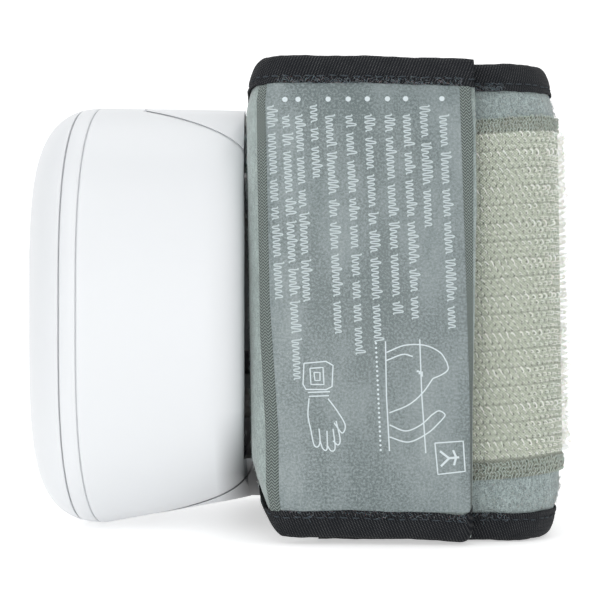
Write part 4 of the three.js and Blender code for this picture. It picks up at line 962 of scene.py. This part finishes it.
# Line drawings on the label, in places of the view
STRAIGHT_LINES = [
    [(385, 341), (386, 396), (389, 450)], [(419, 339), (421, 395), (425, 452)],
    [(304, 363), (326, 361), (333, 365), (332, 386), (326, 389), (306, 389), (303, 384), (304, 363)],
    [(310, 368), (323, 367), (324, 384), (311, 384), (310, 368)],
    [(314, 372), (320, 372), (320, 380), (315, 380), (314, 372)],
    [(308, 392), (330, 391)], [(309, 396), (329, 395)],
    [(434, 442), (462, 440), (464, 470), (437, 473), (434, 442)],
]
CURVED_LINES = [
    [(386, 352), (404, 345), (424, 345), (439, 352), (446, 362)], [(386, 360), (402, 354), (412, 356)],
    [(446, 362), (447, 369), (441, 374), (432, 378)], [(432, 378), (422, 392), (408, 404), (389, 412)],
    [(389, 424), (405, 430), (420, 424), (431, 414)], [(389, 436), (408, 441), (427, 432), (440, 420)],
    [(431, 414), (438, 410), (444, 414), (440, 420)],
    [(309, 398), (308, 415), (311, 430), (314, 444), (318, 446), (320, 440), (319, 428)],
    [(320, 440), (323, 448), (327, 448), (327, 430)], [(327, 444), (331, 450), (335, 447), (333, 428)],
    [(333, 440), (338, 444), (340, 438), (336, 420)],
    [(328, 398), (337, 410), (345, 424), (342, 432), (334, 422)],
]
FIGURE_LINES = [
    [(458, 456), (448, 457)], [(455, 456), (452, 449)], [(455, 456), (453, 464)], [(448, 457), (439, 450)],
    [(448, 457), (440, 465)],
    *([(421 - part, 376 - 1.1 * part), (421 - part, 371 - 0.3 * part)] for part in (0, 2, 4, 6)),
]


def build_print():
    """All print as thin ink on the film, bent to its face."""
    points, faces = [], []

    def add(flat, quads):
        first = sum(len(block) for block in points)
        points.append(np.array(flat, float))
        faces.extend([corner + first for corner in face] for face in quads)

    def on_label(line):
        return [picture_point(x, y) for x, y in line]

    def fine(line):
        line = np.array(line, float)
        spans = [np.linspace(a, b, max(2, int(np.linalg.norm(b - a) / 0.6)), endpoint=False)
                 for a, b in zip(line, line[1:])]
        return np.concatenate([*spans, line[-1:]])

    thin = [on_label(line) for line in STRAIGHT_LINES] + [curve(on_label(line)) for line in CURVED_LINES]
    add(*ribbons([fine(line) for line in thin], PRINT_WIDTH))
    add(*ribbons([fine(on_label(line)) for line in FIGURE_LINES], BOLD_WIDTH))
    bullets, strokes = print_lines()
    rule = [(*picture_point(RULE_LEFT + RULE_TILT * (y - RULE_TOP), y), RULE_DOT)
            for y in np.arange(RULE_TOP, RULE_END, RULE_STEP)]
    for depth, z, size in bullets + rule:
        angle = np.arange(14) * TAU / 14
        add(np.stack([depth + size * np.cos(angle), z + size * np.sin(angle)], 1), [range(14)])
    first_stroke = len(faces)
    add(*ribbons(strokes, PRINT_WIDTH))
    depth, z = np.concatenate(points).T
    placed = on_path(FLAP_END - depth, film_out(depth, z) + PRINT_OUT, z)
    ink = piece("label_print", placed, faces, "ink", "flap")
    ink.data.materials.append(looks["faint_ink"][1])
    for face in ink.data.polygons[first_stroke:]:
        face.material_index = 1
    return ink


def build_film():
    across = np.concatenate([[0, 0.004], np.linspace(0.02, 0.98, 90), [0.996, 1]])
    heights = np.concatenate([[FILM_LOW, 5.3], np.linspace(5.7, 69.2, 170), [69.5, FILM_HIGH]])
    share, grid_z = np.meshgrid(across, heights, indexing="ij")
    spots = lerp(label_left(grid_z), label_right(grid_z), share)
    points = [on_path(FLAP_END - spots, out, grid_z) for out in (film_out(spots, grid_z), FILM_GAP + 0.02)]
    index = np.arange(share.size).reshape(share.shape)
    top = grid_faces(*share.shape, around=False)
    border = [*index[0], *index[1:, -1], *index[-1, -2::-1], *index[-2:0:-1, 0]]
    sides = [(a, b, b + share.size, a + share.size) for a, b in zip(border, border[1:] + border[:1])]
    faces = [*top, *(top[:, ::-1] + share.size), *sides]
    uv = np.tile(np.stack([spots, grid_z], -1).reshape(-1, 2), (2, 1))
    return piece("clear_label", points, faces, "film", "flap", ["label_film"], uv, 50)


def leaning(run, z):
    """Runs of the flap with its free end leaning."""
    return run - clamp(1 - run / LEAN_RUN) * (flap_end(z) - FLAP_END)


def build_flap():
    end = WALL_START + 1.5
    outer = cloth_layer("flap_outer_velour", 0, end, -1.2, 0, CLOTH_IN, "flap_velour", None, "flap_cloth",
                        0.5, 90, 0.05, 1.0, leaning)
    pad = cloth_layer("flap_inner_pad", 0.15, end, inner_face, -1.5, CLOTH_IN, "lining", None,
                      "flap_loop_pad", 0.8, 60, 0.04, 2.0, leaning)
    parts = [outer, pad]
    for side, edge, free in ((1, "low", FLAP_END - flap_end(5)), (-1, "high", FLAP_END - flap_end(72))):
        parts.append(build_binding(f"flap_edge_{edge}", free, end, side, None, f"flap_binding_{edge}",
                                   3.0 + side, 1.6))
        parts.append(stitches(f"flap_stitch_{edge}", free + 0.4, end, side, None))
    hinge_start, hinge_end = (tuple(at_metres(on_path(FOLD_RUN + step, 0, HINGE_ROW)))
                              for step in (HINGE_HALF, -HINGE_HALF))
    for part in parts:
        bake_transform(part)
    for side, left, right in (("left", tape_left, label_left), ("right", label_right, tape_right)):
        def woven(run, z, left=left, right=right):
            return FLAP_END - lerp(left(z), right(z), (TWILL - run) / TWILL)
        cloth_layer(f"woven_tape_{side}", 0, TWILL, FILM_GAP, FILM_GAP + 0.4, BINDING - 0.3,
                                 "twill", "flap", f"flap_tape_{side}", 0.2, 120, 0.05, 4.0, woven)
    film = build_film()
    ink = build_print()


# Band of the cuff

def build_band():
    start = WALL_START + 1.6
    cloth = cloth_layer("cuff_outer_velour", start, RUN_END, -1.0, 0, CLOTH_IN, "velour", "monitor",
                        "cuff_cloth", 0.6, 90, 0.06, 5.0)
    lining = cloth_layer("cuff_inner_lining", start, RUN_END, -CUFF_THICK, 1.0 - CUFF_THICK, CLOTH_IN,
                         "lining", "monitor", "cuff_lining", 0.9, 60, 0.08, 6.0)
    for side, edge in ((1, "low"), (-1, "high")):
        build_binding(f"band_edge_{edge}", start, RUN_END, side, "monitor", f"band_binding_{edge}",
                      7.0 + side)
        stitches(f"band_stitch_{edge}", start, RUN_END, side, "monitor")
    core = cloth_layer("tail_core", RIGHT_START + 0.3, RUN_END - 0.4, -4.6, -2.4, BINDING + 0.4, "foam",
                       "monitor", "tail_foam", 1.0, 20)


# Hook tape

def tube_field(name, paths, radii, sides, look, body="monitor"):
    """Many thin rods as one mesh: paths holds the points of each, all of equal count."""
    count, steps = paths.shape[:2]
    way = unit(np.gradient(paths, axis=1))
    helper = np.where(np.abs(way[..., :1]) < 0.8, np.array([1.0, 0, 0]), np.array([0, 1.0, 0]))
    side = unit(np.cross(way, helper))
    other = np.cross(way, side)
    angle = np.arange(sides)[:, None] * TAU / sides
    ring = side[:, :, None] * np.cos(angle) + other[:, :, None] * np.sin(angle)
    caps = np.stack([np.arange(sides)[::-1], (steps - 1) * sides + np.arange(sides)])
    offsets = np.arange(count)[:, None, None] * steps * sides
    faces = [*(grid_faces(steps, sides) + offsets).reshape(-1, 4), *(caps + offsets).reshape(-1, sides)]
    return piece(name, paths[:, :, None] + ring * radii[:, :, None, None], faces, look, body, sharp=80)


def tape_tilt(run):
    """How much higher the hook tape lies as it comes round the corner."""
    return 0.9 * clamp((near_run(FLAP_END) - run) / 12)


def hook_paths(low_run, high_run):
    """Rows of small arched hooks in bands of three, in even columns."""
    feet = np.arange(HOOK_LOW, HOOK_HIGH - BAND_PITCH / 2, BAND_PITCH)
    rows = [foot + rise for foot in feet for rise in HOOK_ROWS]
    run, level = (part.ravel() for part in np.meshgrid(
        np.arange(low_run, high_run, COLUMN_PITCH), rows, indexing="ij"))
    kind = np.resize(np.arange(len(rows)) % len(HOOK_WIDTHS), len(run))
    count = len(run)
    width = HOOK_WIDTHS[kind] * random.uniform(0.75, 1.25, count)
    climb = HOOK_CLIMBS[kind] * random.uniform(0.6, 1.3, count)
    height = HOOK_HEIGHT + random.normal(0, 0.1, count)
    stray = random.random(count) < STRAYS
    height = height + stray * random.uniform(0.1, 0.65, count)
    width = np.where(stray, width * 0.6, width)
    run = run + COLUMN_PITCH / 2 * (kind % 2) + random.normal(0, 0.05, count)
    level = level + random.normal(0, 0.05, count)
    outs = TAPE_BACKING + 0.1 + height[:, None] * OUT_STEPS
    paths = on_path(run[:, None] + width[:, None] * SIDE_STEPS, outs,
                    level[:, None] + climb[:, None] * RISE_STEPS + tape_tilt(run)[:, None])
    return paths, (HOOK_RADII[kind] * np.where(stray, 0.6, 1.0))[:, None] * THICK_STEPS


def knit_paths(low_run, high_run, levels):
    """Rows of low yarn loops along the woven selvages."""
    paths, radii = [], []
    share = np.linspace(-1, 1, 7)
    lift = np.sqrt(1 - (share * 0.98) ** 2)
    for index, level in enumerate(levels):
        for run in np.arange(low_run + 0.4 + 0.24 * (index % 2), high_run - 0.6, COLUMN_PITCH / 2):
            tilt = random.normal(0.2, 0.16) * (1 if index % 2 else -1)
            runs = run + share * 0.2 + random.normal(0, 0.03)
            zs = level + random.uniform(0.2, 0.45) * (1 - share ** 2) + tilt * share + random.normal(0, 0.05)
            outs = TAPE_BACKING + 0.2 + random.uniform(0.05, 0.35) * lift
            paths.append(on_path(runs, outs, zs + tape_tilt(run)))
            radii.append(0.075 * (0.6 + 0.4 * lift))
    return np.array(paths), np.array(radii)


def build_hook_tape():
    covered = near_run(FLAP_END + 1)
    across = np.linspace(0, 1, 60)
    level = lerp(TAPE_LOW, TAPE_HIGH, across)
    edge = np.minimum(across, 1 - across) * (TAPE_HIGH - TAPE_LOW)
    rim = 0.3 + (TAPE_BACKING - 0.05) * np.sqrt(clamp(1 - (1 - clamp(edge / 0.4)) ** 2, 0.02, 1))
    for name, low, high in (("side", SIDE_START, RIGHT_END), ("corner", RIGHT_END + 0.05, covered),
                            ("covered", covered + 0.05, RUN_END - 1.1)):
        runs = np.linspace(low, high, int((high - low) / 0.7))
        outs = np.tile([*rim, *np.full(60, 0.28)], (len(runs), 1))
        heights = np.tile([*level, *level[::-1]], (len(runs), 1))
        swept(f"hook_backing_{name}", runs, outs, heights + tape_tilt(runs)[:, None], heights, "backing",
              "monitor", f"hook_tape_{name}")
    run_low, run_high = SIDE_START + 0.5, covered + 12
    tube_field("hooks", *hook_paths(run_low, run_high), 5, "hook")
    levels = [*np.arange(9.85, 12.3, 0.62), *np.arange(62.1, 63.9, 0.58)]
    tube_field("hook_selvage", *knit_paths(SIDE_START, run_high, levels), 5, "braid")


# Loose fibres: length and radius of hairs and of lint

HAIR, LINT, FIBRE_OUT = (0.9, 0.028), (0.75, 0.03), -0.05


def fibres(name, places, length, radius, look, body):
    """Short curled fibres: places holds the run, outward offset and height where each one starts."""
    run, out, z = (part[:, None] for part in np.concatenate(places).T)
    angle = random.uniform(0, TAU, run.shape)
    turn = random.normal(0, 1.1, run.shape)
    rise = random.uniform(0.15, 0.75, run.shape)
    size = length * random.uniform(0.5, 1.2, run.shape)
    share = np.linspace(0, 1, 5)[None, :]
    bend = angle + turn * share
    reach = size * share
    paths = on_path(run + reach * np.cos(bend) * 0.8, out + size * rise * share * (1.6 - share),
                    z + reach * np.sin(bend) * 0.8)
    tube_field(name, paths, np.full((len(run), 5), radius) * (1.15 - 0.5 * share), 4, look, body)


def scattered(count, runs, heights):
    columns = [random.uniform(*runs, count), np.full(count, FIBRE_OUT), random.uniform(*heights, count)]
    return np.stack(columns, 1)


def build_fibres():
    corner = scattered(900, (CORNER_START - 1, FOLD_RUN - HINGE_HALF), (6.5, 68.5))
    hem = scattered(160, (0.3, 1.6), (7, 68))
    hem[:, 0] = leaning(hem[:, 0], hem[:, 2])
    fibres("flap_fibres", [corner, hem], *HAIR, "flap_fibre", "flap")
    tail = (RIGHT_START, RUN_END - 14)
    spots = [scattered(900, tail, (5.2, 9.4)), scattered(900, tail, (63.6, 68.2)),
             scattered(700, (WALL_START, WALL_START + 12), (8, 66))]
    fibres("tail_fibres", spots, *HAIR, "tail_fibre", "monitor")
    for body, runs in (("flap", (2, FOLD_RUN - 3.5)), ("monitor", (NEAR_START, RUN_END - 12))):
        lint = []
        for edge, way, count in ((edge_low, 1, 90), (edge_high, -1, 240)):
            spots = random.uniform(*runs, count)
            away = BINDING - np.abs(random.normal(0.1, 0.45, count))
            outs = np.full(count, FILM_GAP + BINDING_THICK)
            lint.append(np.stack([spots, outs, edge(spots) + way * away], 1))
        fibres(f"{body}_lint", lint, *LINT, "lint", body)


# Inside the case and the cuff

def hose(name, curve_points, helper):
    """An open tube along a Bezier curve whose points are depth, width and rise from the middle."""
    share = np.linspace(0, 1, 28)[:, None]
    a, b, c, d = np.array(curve_points, float)
    rest = 1 - share
    middle = rest ** 3 * a + 3 * rest ** 2 * share * b + 3 * rest * share ** 2 * c + share ** 3 * d
    way = unit(np.gradient(middle, axis=0))
    side = unit(np.cross(way, helper))
    other = np.cross(way, side)
    angle = np.arange(HOSE_SIDES)[:, None] * TAU / HOSE_SIDES
    ring = side[:, None] * np.cos(angle) + other[:, None] * np.sin(angle)
    middle = middle[:, None] + np.array([0, 0, RISE])
    points = np.concatenate([middle + HOSE_OUTER * ring, (middle + HOSE_INNER * ring)[::-1]])
    piece(name, points, grid_faces(len(points), HOSE_SIDES, close=True), "silicone", replaces=[name])


def lathe(name, profile, depth, look, replaces=()):
    """A cell or a ring round it: profile gives radius and height of each ring about an upright axis."""
    angle = np.arange(48) * TAU / 48
    rings = [np.stack([depth + r * np.cos(angle), CELL_SIDE + r * np.sin(angle), np.full(48, z)], -1)
             for r, z in profile]
    piece(name, rings, tube_faces(len(rings), 48), look, replaces=replaces)


def build_inside():
    hose("pump_hose", [(21, -11.4, 9.9), (21, -5.4, 9.9), (27.58, -3, 3), (27.58, -3, -3)], (1, 0, 0))
    hose("valve_hose", [(18.9, 3.2, 6), (24.9, 3.2, 6), (27.58, 3, 3), (27.58, 3, -3)], (0, 1, 0))
    hose("sensor_hose", [(12.9, 0, -8), (16.4, 0, -8), (19.8, 0, -8), (23.33, 0, -8)], (0, 1, 0))

    for index, depth, way in ((1, 12.25, 1), (2, 23.05, -1)):
        shape, sleeve = ([(radius, RISE + way * z) for radius, z in part]
                         for part in (CELL_SHAPE, SLEEVE_SHAPE))
        lathe(f"cell_{index}", shape, depth, "cell", [f"battery_cell_{index}"])
        lathe(f"cell_{index}_ring", sleeve, depth, "cell_ring")

    bladder = cloth_layer("cuff_bladder", WALL_START + 0.3, RIGHT_START, -4.55, -2.45, BINDING + 0.3,
                          "bladder", "monitor", "air_bladder", 0.8, 50, 0.03, 9.0)
    start, end = on_path((WALL_START + WALL_END) / 2, (-2.6, 4.9), RISE - 8)
    tube_field("bladder_nipple", np.linspace(start, end, 12)[None], np.full((1, 12), 1.98), 24, "bladder")


# Looks of the nodes that stay as they are, by how their names start
carried = {
    "steel": ("case_screw", "plate_contact", "spring_contact", "pump_motor"),
    "lcd": "lcd_panel",
    "inner": ("lcd_holder", "battery_tray", "pump_head", "air_block"),
    "board": "circuit_board",
    "black": ("start_switch", "memory_switch", "buzzer", "pressure_sensor", "release_valve"),
    "brass": "pump_crank",
    "former": "cuff_former",
}


def dress_carried():
    for name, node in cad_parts.items():
        for look, starts in carried.items():
            if name.startswith(starts) and not node.hide_render:
                paint(node, look)


# Stage

def floor_look():
    """Pale ground that keeps the object's shadow and looks white to the camera and in reflections."""
    shader = Shader("pale_floor", (0.86, 0.86, 0.86), 0.9)
    rays = shader.add("LightPath", {}, 0).node.outputs
    seen = shader.plus(rays["Is Camera Ray"], rays["Is Glossy Ray"])
    seen = shader.plus(seen, rays["Is Transmission Ray"])
    glow = shader.times(shader.spread(seen, 0, 1, 0.6, 1), 0.5)
    shader.set(shader.main, {"Emission Color": (1, 1, 1, 1), "Emission Strength": glow})
    return shader.material


def area_light(name, place, height, size, power):
    lamp = bpy.data.lights.new(name, "AREA")
    lamp.shape, lamp.size, lamp.size_y = "RECTANGLE", size[0], size[1]
    lamp.energy = power
    thing = new_object(name, lamp)
    thing.location = place
    thing.rotation_euler = (Vector((0, 0, height)) - Vector(place)).to_track_quat("-Z", "Y").to_euler()


def build_stage():
    scene = bpy.context.scene
    bend = [(1.2 + 0.4 * math.sin(t), 0.4 - 0.4 * math.cos(t)) for t in np.linspace(0, TAU / 4, 16)]
    profile = [(-1.6, 0.0), *bend, (1.6, 2.4)]
    points = [(x / MM + SHIFT, y / MM, z / MM) for x in (-2.5, 2.5) for y, z in profile]
    floor = new_object("floor", make_mesh("floor", points, grid_faces(2, len(profile), around=False)))
    floor.data.materials.append(floor_look())

    scene.world = scene.world or bpy.data.worlds.new("studio")
    scene.world.use_nodes = True
    tree = scene.world.node_tree
    back = tree.nodes["Background"]
    back.inputs["Color"].default_value = (0.98, 0.99, 1.0, 1)
    rays = tree.nodes.new("ShaderNodeLightPath")
    strength = tree.nodes.new("ShaderNodeMapRange")
    strength.inputs["To Min"].default_value, strength.inputs["To Max"].default_value = 0.6, 1.0
    tree.links.new(rays.outputs["Is Camera Ray"], strength.inputs["Value"])
    tree.links.new(strength.outputs["Result"], back.inputs["Strength"])

    area_light("key", (-0.4, -0.8, 0.6), 0.035, (0.8, 0.8), 2.35)
    area_light("fill", (0.7, -0.6, 0.35), 0.035, (0.6, 0.8), 0.75)
    area_light("low", (-0.1, -0.7, 0.05), 0.03, (0.9, 0.08), 0.9)
    area_light("top", (0.0, 0.15, 1.0), 0.035, (0.8, 0.8), 2.7)

    lens = bpy.data.cameras.new("camera")
    camera = new_object("camera", lens)
    camera.location = (0.00023, -0.260, 0.0369)
    camera.rotation_euler = (math.pi / 2, 0, 0)
    lens.lens, lens.sensor_width = 91.26, 36.0
    lens.clip_start = 0.01
    scene.camera = camera
    scene.view_settings.view_transform = "Standard"


brass = metal("brass", (205, 172, 104), 0.34)

# Every look as its slot and its material
looks = {
    # foot=0.95 is the strength of the painted shade where the case runs in behind the cuff
    "case": ("case_shell", plastic("case_satin_white", (224, 226, 228), 0.36, 0.003, edge=0.22, foot=0.95, **{
        "Specular IOR Level": 0.35})),
    "button": ("button", plastic("button_grey", (172, 181, 188), 0.45, edge=0.15)),
    "print": ("button", plastic("button_mark", (66, 74, 82), 0.5)),
    "window": ("window", plastic("clear_window", (196, 202, 205), 0.04, 0.0002, edge=0.15, **{
        "Transmission Weight": 0.95, "IOR": 1.46, "Coat Weight": 0.3})),
    "mask": ("window", plastic("window_mask", (38, 42, 46), 0.5, 0.002)),
    "inner": ("inner_plastic", plastic("inner_plastic", (222, 224, 222), 0.55, 0.005)),
    "black": ("black_plastic", plastic("black_plastic", (34, 36, 38), 0.5)),
    "silicone": ("silicone", plastic("silicone", (224, 228, 224), 0.42, 0.003, **{"Subsurface Weight": 0.1})),
    "former": ("former", plastic("former_sheet", (232, 232, 228), 0.45)),
    "bladder": ("bladder", plastic("bladder_film", (112, 119, 124), 0.4, 0.01)),
    "foam": ("foam", plastic("foam", (150, 152, 150), 0.95, 0.05)),
    "ink": ("label", plastic("pale_ink", (204, 214, 217), 0.5, 0.002)),
    "faint_ink": ("label", plastic("faint_ink", (186, 197, 199), 0.5, 0.002)),
    "cell": ("cell", plastic("cell_sleeve", (61, 74, 88), 0.3, 0.001, Metallic=0.35)),
    "cell_ring": ("cell", brass),
    "brass": ("brass", brass),
    "steel": ("steel", metal("steel", (190, 192, 195), 0.3)),
    "velour": ("velour", pile("velour", (148, 160, 159), 0.42)),
    "flap_velour": ("velour", pile("flap_velour", (156, 168, 165), 0.28)),
    "lining": ("lining", pile("lining", (122, 131, 128), 0.18, 0.5)),
    "binding": ("binding", ribbon("edge_tape", (20, 23, 27), 0.5, 0.42, 0.15)),
    "thread": ("binding", ribbon("thread", (58, 64, 69), 0.25, 0.25, 0.08)),
    "twill": ("twill", herringbone("woven_tape", (56, 65, 63), (146, 157, 152), 0.46, 1.05)),
    "board": ("board", board_look()),
    "lcd": ("lcd", lcd_look()),
    "film": ("label", film_look()),
    "backing": ("hook_tape", backing_look()),
    "hook": ("hook_tape", nylon("hook_nylon", (253, 254, 248))),
    "braid": ("hook_tape", nylon("braid_yarn", (208, 221, 212), 0.6, low=0.45)),
    "flap_fibre": ("velour", nylon("flap_fibre", (176, 187, 185), 0.8)),
    "tail_fibre": ("velour", nylon("tail_fibre", (170, 181, 180), 0.8)),
    "lint": ("binding", nylon("lint", (104, 114, 120), 0.8)),
}

build_stage()
build_case()
build_front()
build_flap()
build_band()
build_hook_tape()
build_fibres()
build_inside()
dress_carried()
